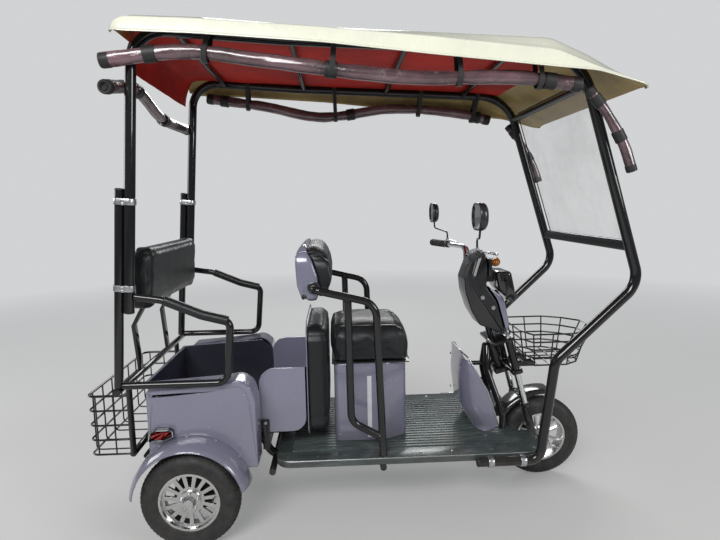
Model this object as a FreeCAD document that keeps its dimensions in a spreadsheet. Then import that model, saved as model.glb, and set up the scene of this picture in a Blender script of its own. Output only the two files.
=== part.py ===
import FreeCAD, Part
import math
import os
import re

import Sketcher
from FreeCAD import Placement, Rotation, Vector

# Driving dimensions in millimetres and degrees. X runs forward from the rear axle,
# Y to the left from the middle plane, and Z up from the ground.
DIMENSIONS = (
    # wheels and tyres
    ("wheelbase", 1481),
    ("wheel_radius", 185),
    ("tyre_width", 80),
    ("bead_radius", 108),
    ("bead_width", 56),
    ("rim_radius", 116),
    ("rim_wall", 4),
    ("wheel_side", 416),
    ("hub_radius", 40),
    ("shaft_radius", 12.5),
    ("hub_inset", 30),
    ("cap_radius", 25),
    ("slot_count", 15),
    ("spoke_pairs", 6),
    ("running_gap", 0.3),
    # under frame
    ("rail_radius", 17),
    ("rail_side", 170),
    ("rail_height", 222),
    ("rail_front", 1288),
    ("rail_kick_front", 270),
    ("rail_kick_rear", 235),
    ("rail_rear_height", 315),
    ("cross_radius", 13),
    ("upright_radius", 13),
    ("upright_side", 300),
    ("rear_bar_height", 600),
    ("rear_bar_back", -246),
    # floor
    ("deck_rear", 305),
    ("deck_front", 1390),
    ("deck_side", 330),
    ("deck_top", 275),
    ("deck_thick", 35),
    ("deck_corner", 60),
    ("deck_rib", 5),
    ("deck_rib_width", 22),
    ("deck_rib_pitch", 48),
    ("notch_rear", 1268),
    ("notch_side", 84),
    ("notch_mouth", 132),
    ("notch_step", 1326),
    # rear axle
    ("axle_tube_radius", 25),
    ("drum_radius", 74),
    ("drum_width", 28),
    ("casing_radius", 82),
    ("casing_width", 104),
    ("motor_radius", 68),
    ("motor_length", 150),
    ("leaf_side", 236),
    ("leaf_width", 45),
    ("leaf_thick", 7),
    ("leaf_reach", 215),
    ("leaf_sag", 48),
    # rear tub and side panels
    ("skin", 4),
    ("tub_half", 252),
    ("tub_rear", -191),
    ("tub_front", 233),
    ("tub_floor", 360),
    ("tub_rim_rear", 582),
    ("tub_rim_front", 606),
    ("tub_rim_wide", 10),
    ("panel_outer", 370),
    ("panel_rear", -160),
    ("panel_front", 245),
    ("panel_low", 273),
    ("panel_rear_low", 330),
    ("panel_rear_top", 587),
    ("crest_height", 620),
    ("crest_front", 190),
    ("crest_rear", 118),
    ("arch_radius", 205),
    ("emboss_inset", 24),
    ("emboss_depth", 2.5),
    ("fender_radius", 226),
    ("fender_lip_radius", 200),
    ("fender_outer", 468),
    ("fender_start", 12),
    ("fender_sweep", 161),
    ("lamp_depth", 24),
    # rear rack
    ("rack_rear", -408),
    ("rack_rod", 4),
    ("rack_top", 548),
    ("rack_low", 313),
    ("rack_levels", 5),
    # hoops, posts and armrests
    ("hoop_side", 386),
    ("hoop_radius", 19),
    ("hoop_foot_back", -188),
    ("hoop_foot_height", 892),
    ("hoop_rear_x", -112),
    ("hoop_rear_z", 1862),
    ("hoop_mid_x", 402),
    ("hoop_mid_z", 1824),
    ("hoop_front_x", 1436),
    ("hoop_front_z", 1777),
    ("knee_x", 1691),
    ("knee_z", 950),
    ("shin_x", 1381),
    ("shin_z", 659),
    ("ankle_x", 1347),
    ("ankle_z", 245),
    ("tail_end", 1100),
    ("post_radius", 16),
    ("post_top", 1326),
    ("clamp_low", 978),
    ("clamp_high", 1284),
    ("clamp_band", 3),
    ("clamp_width", 22),
    ("arm_radius", 14),
    ("arm_rear_height", 946),
    ("arm_front_height", 852),
    ("arm_front", 170),
    ("arm_low", 617),
    # roof
    ("roof_half", 500),
    ("roof_flange", 12),
    ("roof_plateau_half", 425),
    ("roof_skin", 5),
    # windscreen
    ("screen_bar_x", 1647),
    ("screen_bar_z", 1092),
    ("screen_bar_tall", 40),
    ("screen_bar_deep", 20),
    ("top_bar_x", 1466),
    ("top_bar_z", 1668),
    ("top_bar_radius", 15),
    ("screen_thick", 3),
    ("screen_half", 352),
    # rear bench, stored tipped forward
    ("bench_hinge_x", 262),
    ("bench_hinge_z", 395),
    ("bench_half", 243),
    ("bench_rear", 240),
    ("bench_low", 350),
    ("bench_top", 620),
    ("bench_face", 428),
    ("cushion_front", 518),
    ("cushion_low", 325),
    ("cushion_top", 797),
    # rear backrest
    ("back_half", 335),
    ("back_low", 870),
    ("back_top", 1130),
    ("back_x", -214),
    ("back_thick", 72),
    ("stub_side", 168),
    ("stub_wide", 34),
    ("stub_thick", 12),
    # driver's seat
    ("box_rear", 540),
    ("box_front", 845),
    ("box_half", 188),
    ("box_top", 610),
    ("box_chamfer", 90),
    ("box_chamfer_in", 48),
    ("seat_top", 780),
    ("seat_over", 10),
    ("lid_hinge_x", 856),
    ("lid_hinge_z", 602),
    ("lid_thick", 5),
    ("battery_half", 150),
    ("battery_tall", 220),
    ("guard_side", 312),
    ("guard_radius", 15),
    ("guard_front", 712),
    ("guard_foot", 729),
    ("guard_branch", 600),
    ("driver_back_half", 268),
    # front end
    ("rake", 15),
    ("head_x", 1285),
    ("head_z", 525),
    ("fork_offset", 55),
    ("leg_side", 80),
    ("leg_radius", 18),
    ("slider_radius", 14),
    ("crown_half", 104),
    ("crown_neck_half", 34),
    ("crown_neck_ahead", 30),
    ("head_tube_radius", 26),
    ("head_tube_length", 118),
    ("down_tube_radius", 14),
    ("down_tube_foot_x", 1276),
    ("down_tube_side", 102),
    ("shield_half", 145),
    ("cowl_half", 66),
    ("bar_low_z", 935),
    ("bar_high_z", 1056),
    ("bar_radius", 11),
    ("bar_end_y", 388),
    ("grip_radius", 17),
    ("grip_length", 118),
    ("cable_radius", 3),
    ("mirror_side", 428),
    ("mirror_x", 1075),
    ("mirror_z", 1211),
    ("fender_gap", 42),
    ("front_fender_half", 52),
    ("basket_top", 705),
    ("basket_low", 562),
    ("basket_rod", 3.5),
    # rolled rain curtains
    ("roll_radius", 27),
    ("rear_roll_radius", 25),
    ("front_roll_radius", 20),
    ("strap_slack", 0.6),
    ("roll_side", 434),
    ("strap_wide", 18),
    ("strap_thick", 2),
)

doc = FreeCAD.newDocument("passenger_tricycle")
sheet = doc.addObject("Spreadsheet::Sheet", "Sizes")
for row, (name, number) in enumerate(DIMENSIONS, 1):
    sheet.set("A%d" % row, name)
    sheet.set("B%d" % row, str(number))
    sheet.setAlias("B%d" % row, name)
doc.recompute()
ALIASES = {name for name, number in DIMENSIONS}
nodes = []


def bound(formula):
    """A formula on the sheet's names, as an expression that other objects can read."""
    return re.sub(r"[a-z][a-z_]+", lambda word: "Sizes." + word.group() if word.group() in ALIASES
                  else word.group(), str(formula))


def value(formula):
    """The number that a formula on the sheet's names gives."""
    return float(sheet.evalExpression(bound(formula)))


def spot(x, y, z):
    """A point whose coordinates are formulas."""
    return Vector(value(x), value(y), value(z))


def keep(item, label):
    """Name an object as a sub-part that is written to its own file."""
    item.Label = label
    nodes.append(item)
    return item


def primitive(kind, at, axis=Vector(0, 0, 1), **sizes):
    """A Part primitive with its sizes and place bound to formulas."""
    item = doc.addObject("Part::" + kind, kind)
    item.Placement = Placement(Vector(), Rotation(Vector(0, 0, 1), axis))
    for field, formula in sizes.items():
        item.setExpression(field, bound(formula))
    for letter, formula in zip("xyz", at):
        item.setExpression("Placement.Base." + letter, bound(formula))
    return item


def box(low, high):
    """A box between two corners given as formulas."""
    spans = ["(%s) - (%s)" % pair for pair in zip(high, low)]
    return primitive("Box", low, Length=spans[0], Width=spans[1], Height=spans[2])


def rod(start, end, radius):
    """A straight round bar between two points given as formulas."""
    a = spot(*start)
    b = spot(*end)
    item = doc.addObject("Part::Cylinder", "Rod")
    item.setExpression("Radius", bound(radius))
    item.Height = (b - a).Length
    item.Placement = Placement(a, Rotation(Vector(0, 0, 1), b - a))
    return item


def bent_bar(points, bends, radius):
    """A round bar through points: straight runs and tangent bends, one bend radius for each inner point."""
    pieces = []
    last = points[0]

    def run(start, end):
        item = doc.addObject("Part::Cylinder", "Run")
        item.setExpression("Radius", bound(radius))
        item.Height = (end - start).Length
        item.Placement = Placement(start, Rotation(Vector(0, 0, 1), end - start))
        pieces.append(item)
    for before, corner, after, bend in zip(points, points[1:], points[2:], bends):
        back = (before - corner).normalize()
        ahead = (after - corner).normalize()
        half = back.getAngle(ahead) / 2
        reach = bend / math.tan(half)
        entry = corner + back * reach
        leave = corner + ahead * reach
        centre = corner + (back + ahead).normalize() * (bend / math.sin(half))
        out = (entry - centre).normalize()
        pole = out.cross(leave - centre).normalize()
        side = pole.cross(out)
        run(last, entry)
        item = doc.addObject("Part::Torus", "Bend")
        item.setExpression("Radius2", bound(radius))
        item.Radius1 = bend
        item.Angle1 = -180
        item.Angle2 = 180
        item.Angle3 = 180 - math.degrees(2 * half)
        item.Placement = Placement(FreeCAD.Matrix(
            out.x, side.x, pole.x, centre.x, out.y, side.y, pole.y, centre.y, out.z, side.z, pole.z, centre.z,
            0, 0, 0, 1))
        pieces.append(item)
        last = leave
    run(last, points[-1])
    return fuse(pieces, refine=False)


def tube(spots, bends, radius):
    """A round bar bent through points given as formulas."""
    return bent_bar([spot(*row) for row in spots], [value(bend) for bend in bends], radius)


def fuse(items, refine=True):
    """Join pieces that are welded or moulded together."""
    item = doc.addObject("Part::MultiFuse", "Fuse")
    item.Shapes = items
    item.Refine = refine
    return item


def cut(base, tool):
    """Take one piece's room out of another."""
    item = doc.addObject("Part::Cut", "Cut")
    item.Base = base
    item.Tool = tool
    item.Refine = True
    return item


def group(items):
    """Like pieces that share a node and don't touch."""
    item = doc.addObject("Part::Compound", "Group")
    item.Links = items
    return item


def mirrored(source):
    """The same piece on the other side of the middle plane."""
    item = doc.addObject("Part::Mirroring", "Mirrored")
    item.Source = source
    item.Base = Vector(0, 0, 0)
    item.Normal = Vector(0, 1, 0)
    return item


def both_sides(source):
    """A right piece together with its left twin."""
    return group([source, mirrored(source)])


def new_body(name):
    """An empty PartDesign body."""
    return doc.addObject("PartDesign::Body", name)


def sketch(body, plane, offset="0"):
    """A sketch on one of the body's own planes, moved along its normal."""
    item = body.newObject("Sketcher::SketchObject", "Outline")
    support = [part for part in body.Origin.OriginFeatures if part.Role == plane + "_Plane"][0]
    item.AttachmentSupport = [(support, "")]
    item.MapMode = "FlatFace"
    item.setExpression("AttachmentOffset.Base.z", bound(offset))
    return item


def pin_point(drawing, index, end, x, y):
    """Hold a point of a sketch at a place given by two formulas."""
    for kind, formula in (("DistanceX", x), ("DistanceY", y)):
        number = drawing.addConstraint(Sketcher.Constraint(kind, -1, 1, index, end, value(formula)))
        drawing.setExpression("Constraints[%d]" % number, bound(formula))


def outline(drawing, corners):
    """Add a closed straight-sided outline whose corners are pairs of formulas."""
    first = len(drawing.Geometry)
    points = [Vector(value(x), value(y), 0) for x, y in corners]
    count = len(points)
    for i, point in enumerate(points):
        drawing.addGeometry(Part.LineSegment(point, points[(i + 1) % count]), False)
    for i in range(count):
        drawing.addConstraint(Sketcher.Constraint("Coincident", first + i, 2, first + (i + 1) % count, 1))
    for i, (x, y) in enumerate(corners):
        pin_point(drawing, first + i, 1, x, y)


def pad(body, drawing, length, both=False):
    """Raise a sketch to a solid, one way or to both sides."""
    item = body.newObject("PartDesign::Pad", "Pad")
    item.Profile = drawing
    item.setExpression("Length", bound(length))
    item.SideType = "Symmetric" if both else "One side"
    drawing.Visibility = False
    body.Tip = item
    return item


def pocket(body, drawing, length, both=False, backward=False):
    """Cut a sketch out of a solid."""
    item = body.newObject("PartDesign::Pocket", "Pocket")
    item.Profile = drawing
    item.setExpression("Length", bound(length))
    item.SideType = "Symmetric" if both else "One side"
    item.Reversed = backward
    body.Tip = item
    return item


def turn(body, drawing, angle="360"):
    """Revolve a sketch about its upright axis."""
    item = body.newObject("PartDesign::Revolution", "Turned")
    item.Profile = drawing
    item.ReferenceAxis = (drawing, ["V_Axis"])
    item.setExpression("Angle", bound(angle))
    body.Tip = item
    return item


def around(body, feature, count):
    """Repeat a feature about the wheel's axis."""
    item = body.newObject("PartDesign::PolarPattern", "Around")
    item.Originals = [feature]
    axle = [part for part in body.Origin.OriginFeatures if part.Role == "Y_Axis"][0]
    item.Axis = (axle, [""])
    item.Angle = 360
    item.setExpression("Occurrences", bound(count))
    body.Tip = item
    return item


def soften(body, radius, chosen):
    """Round those edges of a body that a test picks."""
    doc.recompute()
    base = body.Tip
    names = ["Edge%d" % (i + 1) for i, edge in enumerate(base.Shape.Edges) if chosen(edge)]
    item = body.newObject("PartDesign::Fillet", "Soft")
    item.Base = (base, names)
    item.setExpression("Radius", bound(radius))
    body.Tip = item
    return item


def along(edge, axis):
    """Whether a straight edge runs along an axis."""
    if edge.Curve.TypeId != "Part::GeomLine":
        return False
    return abs(abs(edge.Curve.Direction.dot(axis)) - 1) < 1e-6


def across_y(edge):
    return along(edge, Vector(0, 1, 0))


def prism(name, plane, corners, length, offset="0", both=False):
    """A body with one padded outline."""
    body = new_body(name)
    drawing = sketch(body, plane, offset)
    outline(drawing, corners)
    pad(body, drawing, length, both)
    return body


def raked(ahead, up, side="0"):
    """A point in the fork's own frame: ahead of the steering axis and up along it."""
    lean = "head_x - (%s) * sin(rake * 1deg) + (%s) * cos(rake * 1deg)" % (up, ahead)
    rise = "head_z + (%s) * cos(rake * 1deg) + (%s) * sin(rake * 1deg)" % (up, ahead)
    return (lean, side, rise)


# Wheels
def tyre(name):
    """A tyre: a round crown on two beads that sit on the rim."""
    body = new_body(name)
    drawing = sketch(body, "XY")
    centre = value("wheel_radius - tyre_width / 2")
    round_radius = value("tyre_width / 2")
    flange = value("rim_radius + running_gap")
    half = math.sqrt(round_radius ** 2 - (centre - flange) ** 2)
    sweep = math.atan2(half, flange - centre)
    circle = Part.Circle(Vector(centre, 0, 0), Vector(0, 0, 1), round_radius)
    drawing.addGeometry(Part.ArcOfCircle(circle, -sweep, sweep), False)
    bead_side = value("bead_width / 2")
    inner = value("bead_radius")
    stops = [Vector(flange, half, 0), Vector(inner, bead_side, 0), Vector(inner, -bead_side, 0),
             Vector(flange, -half, 0)]
    for a, b in zip(stops, stops[1:]):
        drawing.addGeometry(Part.LineSegment(a, b), False)
    for first, second in ((0, 1), (1, 2), (2, 3)):
        drawing.addConstraint(Sketcher.Constraint("Coincident", first, 2, second, 1))
    drawing.addConstraint(Sketcher.Constraint("Coincident", 3, 2, 0, 1))
    pin_point(drawing, 0, 3, "wheel_radius - tyre_width / 2", "0")
    number = drawing.addConstraint(Sketcher.Constraint("Radius", 0, round_radius))
    drawing.setExpression("Constraints[%d]" % number, bound("tyre_width / 2"))
    pin_point(drawing, 2, 1, "bead_radius", "bead_width / 2")
    pin_point(drawing, 2, 2, "bead_radius", "-bead_width / 2")
    for end in (1, 2):
        number = drawing.addConstraint(Sketcher.Constraint("DistanceX", -1, 1, 0, end, flange))
        drawing.setExpression("Constraints[%d]" % number, bound("rim_radius + running_gap"))
    turn(body, drawing)
    return body


def rim_barrel(body, hub_low, hub_high, disc_low, disc_high, cap_high):
    """Rim flanges, bead seat, disc and hub of a wheel, turned in one piece."""
    seat = "bead_radius - running_gap"
    side = "bead_width / 2 + running_gap"
    edge = "bead_width / 2 + rim_wall + running_gap"
    inner = "bead_radius - rim_wall - running_gap"
    drawing = sketch(body, "XY")
    outline(drawing, [
        (inner, "-(%s)" % edge), ("rim_radius", "-(%s)" % edge), ("rim_radius", "-(%s)" % side),
        (seat, "-(%s)" % side), (seat, side), ("rim_radius", side), ("rim_radius", edge), (inner, edge),
        (inner, disc_high), ("hub_radius", disc_high), ("hub_radius", hub_high), ("cap_radius", hub_high),
        ("cap_radius - 8", cap_high), ("0", cap_high), ("0", "(%s) - 8" % cap_high),
        ("shaft_radius + running_gap", "(%s) - 8" % cap_high), ("shaft_radius + running_gap", hub_low),
        ("hub_radius", hub_low), ("hub_radius", disc_low), (inner, disc_low)])
    turn(body, drawing)


def rear_rim(name):
    """A pressed disc wheel with a ring of tapered slots; its outer face looks to +Y."""
    body = new_body(name)
    rim_barrel(body, "-hub_inset", "26", "4", "12", "44")
    drawing = sketch(body, "XZ")
    low = "hub_radius + 11"
    high = "bead_radius - rim_wall - 9"
    outline(drawing, [("-4.5", low), ("4.5", low), ("12", high), ("-12", high)])
    slot = pocket(body, drawing, "tyre_width", both=True)
    around(body, slot, "slot_count")
    return body


def front_rim():
    """A cast wheel with pairs of slim spokes between the hub and the bead seat."""
    body = new_body("FrontRim")
    side = "bead_width / 2 + rim_wall + running_gap"
    seat_side = "bead_width / 2 + running_gap"
    inner = "bead_radius - rim_wall - running_gap"
    barrel = sketch(body, "XY")
    outline(barrel, [
        (inner, "-(%s)" % side), ("rim_radius", "-(%s)" % side), ("rim_radius", "-(%s)" % seat_side),
        ("bead_radius - running_gap", "-(%s)" % seat_side), ("bead_radius - running_gap", seat_side),
        ("rim_radius", seat_side), ("rim_radius", side), (inner, side)])
    turn(body, barrel)
    spokes = sketch(body, "XZ")
    for way in ("-1", "1"):
        outline(spokes, [
            ("%s * 4" % way, "cap_radius"), ("%s * 12" % way, "cap_radius"),
            ("%s * 24" % way, "bead_radius - rim_wall + 1"), ("%s * 15" % way, "bead_radius - rim_wall + 1")])
    pair = pad(body, spokes, "22", both=True)
    around(body, pair, "spoke_pairs")
    hub = sketch(body, "XY")
    outline(hub, [
        ("shaft_radius + running_gap", "-33"), ("hub_radius - 6", "-33"), ("hub_radius - 2", "-20"),
        ("hub_radius - 2", "20"), ("hub_radius - 6", "33"), ("shaft_radius + running_gap", "33")])
    turn(body, hub)
    return body


def wheels():
    """Three wheels; the rear pair are twins on the two ends of the axle."""
    for side, name in ((-1, "right"), (1, "left")):
        rim = rear_rim("RearRim")
        facing = 180 if side < 0 else 0
        rim.Placement = Placement(Vector(), Rotation(Vector(0, 0, 1), facing))
        rim.setExpression("Placement.Base.y", bound("%d * wheel_side" % side))
        rim.setExpression("Placement.Base.z", bound("wheel_radius"))
        keep(group([rim]), "rear_rim_" + name)
        rubber = tyre("RearTyre")
        rubber.setExpression("Placement.Base.y", bound("%d * wheel_side" % side))
        rubber.setExpression("Placement.Base.z", bound("wheel_radius"))
        keep(group([rubber]), "rear_tyre_" + name)
    for maker, name in ((front_rim, "front_rim"), (lambda: tyre("FrontTyre"), "front_tyre")):
        item = maker()
        item.setExpression("Placement.Base.x", bound("wheelbase"))
        item.setExpression("Placement.Base.z", bound("wheel_radius"))
        keep(group([item]), name)


# Under frame and floor
def chassis_frame():
    """Kicked-up rails, cross tubes, rear uprights and bar, head tube and down tubes."""
    rail = tube([
        ("rail_front", "-rail_side", "rail_height"), ("rail_kick_front", "-rail_side", "rail_height"),
        ("rail_kick_rear", "-rail_side", "rail_rear_height"),
        ("rear_bar_back", "-rail_side", "rail_rear_height")], ["60", "60"], "rail_radius")
    upright = rod(("rear_bar_back", "-upright_side", "rail_rear_height"),
                  ("rear_bar_back", "-upright_side", "rear_bar_height"), "upright_radius - 1.5")
    under = "rail_height"
    down = tube([raked("-29", "head_tube_length * 0.9", "-14"), ("head_x - 62", "-40", "head_z - 10"),
                 ("down_tube_foot_x", "-down_tube_side", "deck_top + 64"),
                 ("down_tube_foot_x", "-down_tube_side", under)], ["120", "40"], "down_tube_radius")
    toe = rod(("down_tube_foot_x", "-down_tube_side + 8", under),
              ("down_tube_foot_x", "-deck_side + 10", under), "cross_radius")
    pieces = []
    for item in (rail, upright, down, toe):
        pieces += [item, mirrored(item)]
    for place in ("rail_kick_front + 20", "guard_foot", "rail_front - 60"):
        pieces.append(rod((place, "-deck_side + 10", under), (place, "deck_side - 10", under),
                          "cross_radius"))
    bearer = "tub_floor - skin - cross_radius - running_gap"
    for place in ("tub_rear + 60", "panel_front - 55"):
        pieces.append(rod((place, "-tub_half", bearer), (place, "tub_half", bearer), "cross_radius"))
    pieces.append(rod(("rear_bar_back", "-upright_side - 5", "rail_rear_height"),
                      ("rear_bar_back", "upright_side + 5", "rail_rear_height"), "cross_radius"))
    pieces.append(rod(("rear_bar_back", "-hoop_side - 20", "rear_bar_height"),
                      ("rear_bar_back", "hoop_side + 20", "rear_bar_height"), "upright_radius"))
    core = rod(raked("0", "-5"), raked("0", "head_tube_length + 5"), "14 + running_gap")
    pieces.append(cut(rod(raked("0", "0"), raked("0", "head_tube_length"), "head_tube_radius"), core))
    for back, height, apart, reach in (("head_x - 100", "deck_top + 165", "66", "head_x - 36"),
                                       ("head_x - 145", "head_z + 12", "14", "head_x - 22")):
        pieces.append(rod((back, "-shield_half + skin + running_gap", height),
                          (back, "shield_half - skin - running_gap", height), "8"))
        for side in ("-", ""):
            pieces.append(rod((back, side + apart, height), (reach, side + apart, height), "6"))
    pin = rod(("bench_hinge_x", "-bench_half - 20", "bench_hinge_z"),
              ("bench_hinge_x", "bench_half + 20", "bench_hinge_z"), "6 + running_gap")
    hinge = []
    for side in ("-1", "1"):
        low = "%s * (bench_half + 6) - 3" % side
        high = "%s * (bench_half + 6) + 3" % side
        plate = box(("bench_hinge_x - 14", low, "rail_rear_height - 30"),
                    ("bench_hinge_x + 14", high, "bench_hinge_z + 14"))
        hinge.append(cut(plate, pin))
    for way in ("-1", "1"):
        hanger = box(("%s * leaf_reach - 12" % way, "-rail_side - rail_radius", "rail_rear_height - 56"),
                     ("%s * leaf_reach + 12" % way, "-rail_side - rail_radius + 9", "rail_rear_height"))
        pieces += [hanger, mirrored(hanger)]
    stem = rod(("bench_hinge_x", "-bench_half - 9", "rail_rear_height - 20"),
               ("bench_hinge_x", "bench_half + 9", "rail_rear_height - 20"), "cross_radius")
    pieces += hinge + [stem]
    keep(fuse(pieces, refine=False), "chassis_frame")


def floor_deck():
    """The ribbed footboard, notched in front for the steered wheel."""
    body = new_body("Deck")
    drawing = sketch(body, "XY", "deck_top - deck_thick")
    outline(drawing, [
        ("deck_rear", "-deck_side"), ("deck_front", "-deck_side"), ("deck_front", "-notch_mouth"),
        ("notch_step", "-notch_mouth"), ("notch_step", "-notch_side"), ("notch_rear", "-notch_side"),
        ("notch_rear", "notch_side"), ("notch_step", "notch_side"), ("notch_step", "notch_mouth"),
        ("deck_front", "notch_mouth"), ("deck_front", "deck_side"), ("deck_rear", "deck_side")])
    pad(body, drawing, "deck_thick - deck_rib")
    holes = sketch(body, "XY", "deck_top")
    for way in ("-1", "1"):
        number = len(holes.Geometry)
        side = "%s * down_tube_side" % way
        room = "down_tube_radius + running_gap"
        centre = spot("down_tube_foot_x", side, "0")
        holes.addGeometry(Part.Circle(centre, Vector(0, 0, 1), value(room)), False)
        pin_point(holes, number, 3, "down_tube_foot_x", side)
        bore = holes.addConstraint(Sketcher.Constraint("Radius", number, value(room)))
        holes.setExpression("Constraints[%d]" % bore, bound(room))
    pocket(body, holes, "deck_thick + 5")
    side = value("deck_side")
    soften(body, "deck_corner", lambda edge: along(edge, Vector(0, 0, 1))
           and abs(abs(edge.Vertexes[0].Y) - side) < 1)
    ribs = sketch(body, "XY", "deck_top - deck_rib")
    low = "deck_rear + deck_corner"
    high = "notch_rear - 8"
    outline(ribs, [(low, "-deck_rib_width / 2"), (high, "-deck_rib_width / 2"),
                   (high, "deck_rib_width / 2"), (low, "deck_rib_width / 2")])
    raised = pad(body, ribs, "deck_rib")
    pattern = body.newObject("PartDesign::MultiTransform", "Ribs")
    pattern.Originals = [raised]
    span = "floor((deck_side - 70) / deck_rib_pitch)"
    steps = []
    for backward in (False, True):
        step = body.newObject("PartDesign::LinearPattern", "Step")
        side_axis = [part for part in body.Origin.OriginFeatures if part.Role == "Y_Axis"][0]
        step.Direction = (side_axis, [""])
        step.Reversed = backward
        step.setExpression("Length", bound("deck_rib_pitch * " + span))
        step.setExpression("Occurrences", bound(span + " + 1"))
        steps.append(step)
    pattern.Transformations = steps
    body.Tip = pattern
    keep(group([body]), "floor_deck")


def drive_axle():
    """Axle tube with its gear casing, motor, brake drums and the shaft ends that carry the wheels."""
    inner = "wheel_side - hub_inset - 5"
    pieces = [
        rod(("0", "-(%s) + drum_width" % inner, "wheel_radius"),
            ("0", "(%s) - drum_width" % inner, "wheel_radius"), "axle_tube_radius"),
        rod(("0", "-casing_width / 2", "wheel_radius"),
            ("0", "casing_width / 2", "wheel_radius"), "casing_radius"),
        rod(("motor_radius + 20", "casing_width / 2 - motor_length", "wheel_radius"),
            ("motor_radius + 20", "casing_width / 2", "wheel_radius"), "motor_radius")]
    for side in ("-1", "1"):
        drum_end = "%s * (%s)" % (side, inner)
        drum_start = "%s * ((%s) - drum_width)" % (side, inner)
        pieces.append(rod(("0", drum_start, "wheel_radius"), ("0", drum_end, "wheel_radius"), "drum_radius"))
        pieces.append(rod(("0", drum_start, "wheel_radius"),
                          ("0", "%s * (wheel_side + 34)" % side, "wheel_radius"), "shaft_radius"))
        seat = "%s * leaf_side" % side
        pieces.append(box(("-22", seat + " - leaf_width / 2", "wheel_radius"),
                          ("22", seat + " + leaf_width / 2", "wheel_radius + axle_tube_radius + 4")))
    keep(fuse(pieces), "drive_axle")


def leaf_springs():
    """Three curved leaves over each end of the axle, hung from the rails at both tips."""
    body = new_body("Leaves")
    drawing = sketch(body, "XZ", "leaf_side - leaf_width / 2")
    base = "wheel_radius + axle_tube_radius + 4 + running_gap"

    def leaf_point(share, layer):
        height = "%s + %d * leaf_thick + leaf_sag * %g" % (base, layer, share * share)
        return ("leaf_reach * %g" % share, height)
    under = [(-1, 2), (-0.75, 2), (-0.75, 1), (-0.5, 1), (-0.5, 0), (-0.25, 0), (0, 0), (0.25, 0), (0.5, 0),
             (0.5, 1), (0.75, 1), (0.75, 2), (1, 2)]
    over = [(share, 3) for share in (1, 0.75, 0.5, 0.25, 0, -0.25, -0.5, -0.75, -1)]
    outline(drawing, [leaf_point(share, layer) for share, layer in under + over])
    pad(body, drawing, "leaf_width")
    eye = base + " + 2.5 * leaf_thick + leaf_sag"
    pieces = [body]
    for way in ("-1", "1"):
        pieces.append(rod(("%s * leaf_reach" % way, "-leaf_side - leaf_width / 2", eye),
                          ("%s * leaf_reach" % way, "-rail_side - rail_radius - running_gap", eye), "11"))
    keep(both_sides(fuse(pieces)), "leaf_springs")


# Rear tub, side panels and fenders
def rear_tub():
    """An open load tub: floor, rear wall and two sides with a beaded rim; the bench closes its front."""
    body = prism("Tub", "XZ", [
        ("tub_rear", "tub_floor - skin"), ("tub_front", "tub_floor - skin"),
        ("tub_front", "tub_rim_front - 46"), ("tub_front - 46", "tub_rim_front"),
        ("tub_rear", "tub_rim_rear")], "2 * (tub_half + skin)", both=True)
    hollow = sketch(body, "XZ")
    outline(hollow, [
        ("tub_rear + skin", "tub_floor"), ("tub_front + 5", "tub_floor"),
        ("tub_front + 5", "tub_rim_front + 50"), ("tub_rear + skin", "tub_rim_front + 50")])
    pocket(body, hollow, "2 * tub_half", both=True)
    bead = prism("Rim", "XZ", [
        ("tub_rear - tub_rim_wide", "tub_rim_rear - 6"), ("tub_front - 46", "tub_rim_front - 6"),
        ("tub_front - 46", "tub_rim_front + 2"), ("tub_rear - tub_rim_wide", "tub_rim_rear + 2")],
        "2 * (tub_half + skin + tub_rim_wide)", both=True)
    opening = sketch(bead, "XZ")
    outline(opening, [
        ("tub_rear + skin", "tub_floor"), ("tub_front", "tub_floor"), ("tub_front", "tub_rim_front + 50"),
        ("tub_rear + skin", "tub_rim_front + 50")])
    pocket(bead, opening, "2 * tub_half", both=True)
    keep(fuse([body, bead]), "rear_tub")


def panel_outline(inset):
    """Corners of a side panel, drawn in from its edges by an inset."""
    return [
        ("panel_rear + %s" % inset, "panel_rear_low"),
        ("panel_rear + %s" % inset, "panel_rear_top - %s" % inset),
        ("crest_rear", "crest_height - 12 - %s" % inset),
        ("crest_front - %s / 2" % inset, "crest_height - %s" % inset),
        ("panel_front - 16 - %s" % inset, "crest_height - 36 - %s / 2" % inset),
        ("panel_front - %s" % inset, "crest_height - 90"), ("panel_front - %s" % inset, "panel_low"),
        ("panel_front - 46", "panel_low")]


def side_panels():
    """Moulded flanks: an outer face with a raised crest, two returns and a ledge to the tub."""
    body = new_body("SidePanel")
    inner = "tub_half + skin + tub_rim_wide + running_gap"
    drawing = sketch(body, "XZ", inner)
    outline(drawing, panel_outline("0"))
    pad(body, drawing, "panel_outer - (%s)" % inner)
    hollow = sketch(body, "XZ", inner)
    rows = panel_outline("skin")
    rows[0] = ("panel_rear + skin", "panel_rear_low - 60")
    rows[-2] = ("panel_front - skin", "panel_low - 60")
    rows[-1] = ("panel_front - 46", "panel_low - 60")
    outline(hollow, rows)
    pocket(body, hollow, "panel_outer - skin - (%s)" % inner, backward=True)
    emboss = sketch(body, "XZ", "panel_outer")
    rows = panel_outline("emboss_inset")
    outline(emboss, [("panel_rear + emboss_inset", "panel_rear_low + 100")] + rows[1:6]
            + [("panel_front - emboss_inset", "panel_low + 120")])
    pocket(body, emboss, "emboss_depth")
    arch = rod(("0", "-panel_outer - 5", "wheel_radius"), ("0", "-panel_outer + 60", "wheel_radius"),
               "arch_radius")
    tail = rod(("0", "-panel_outer + 50", "wheel_radius"), ("0", "-tub_half", "wheel_radius"),
               "drum_radius + 20")
    keep(both_sides(cut(body, fuse([arch, tail]))), "side_panels")


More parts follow.
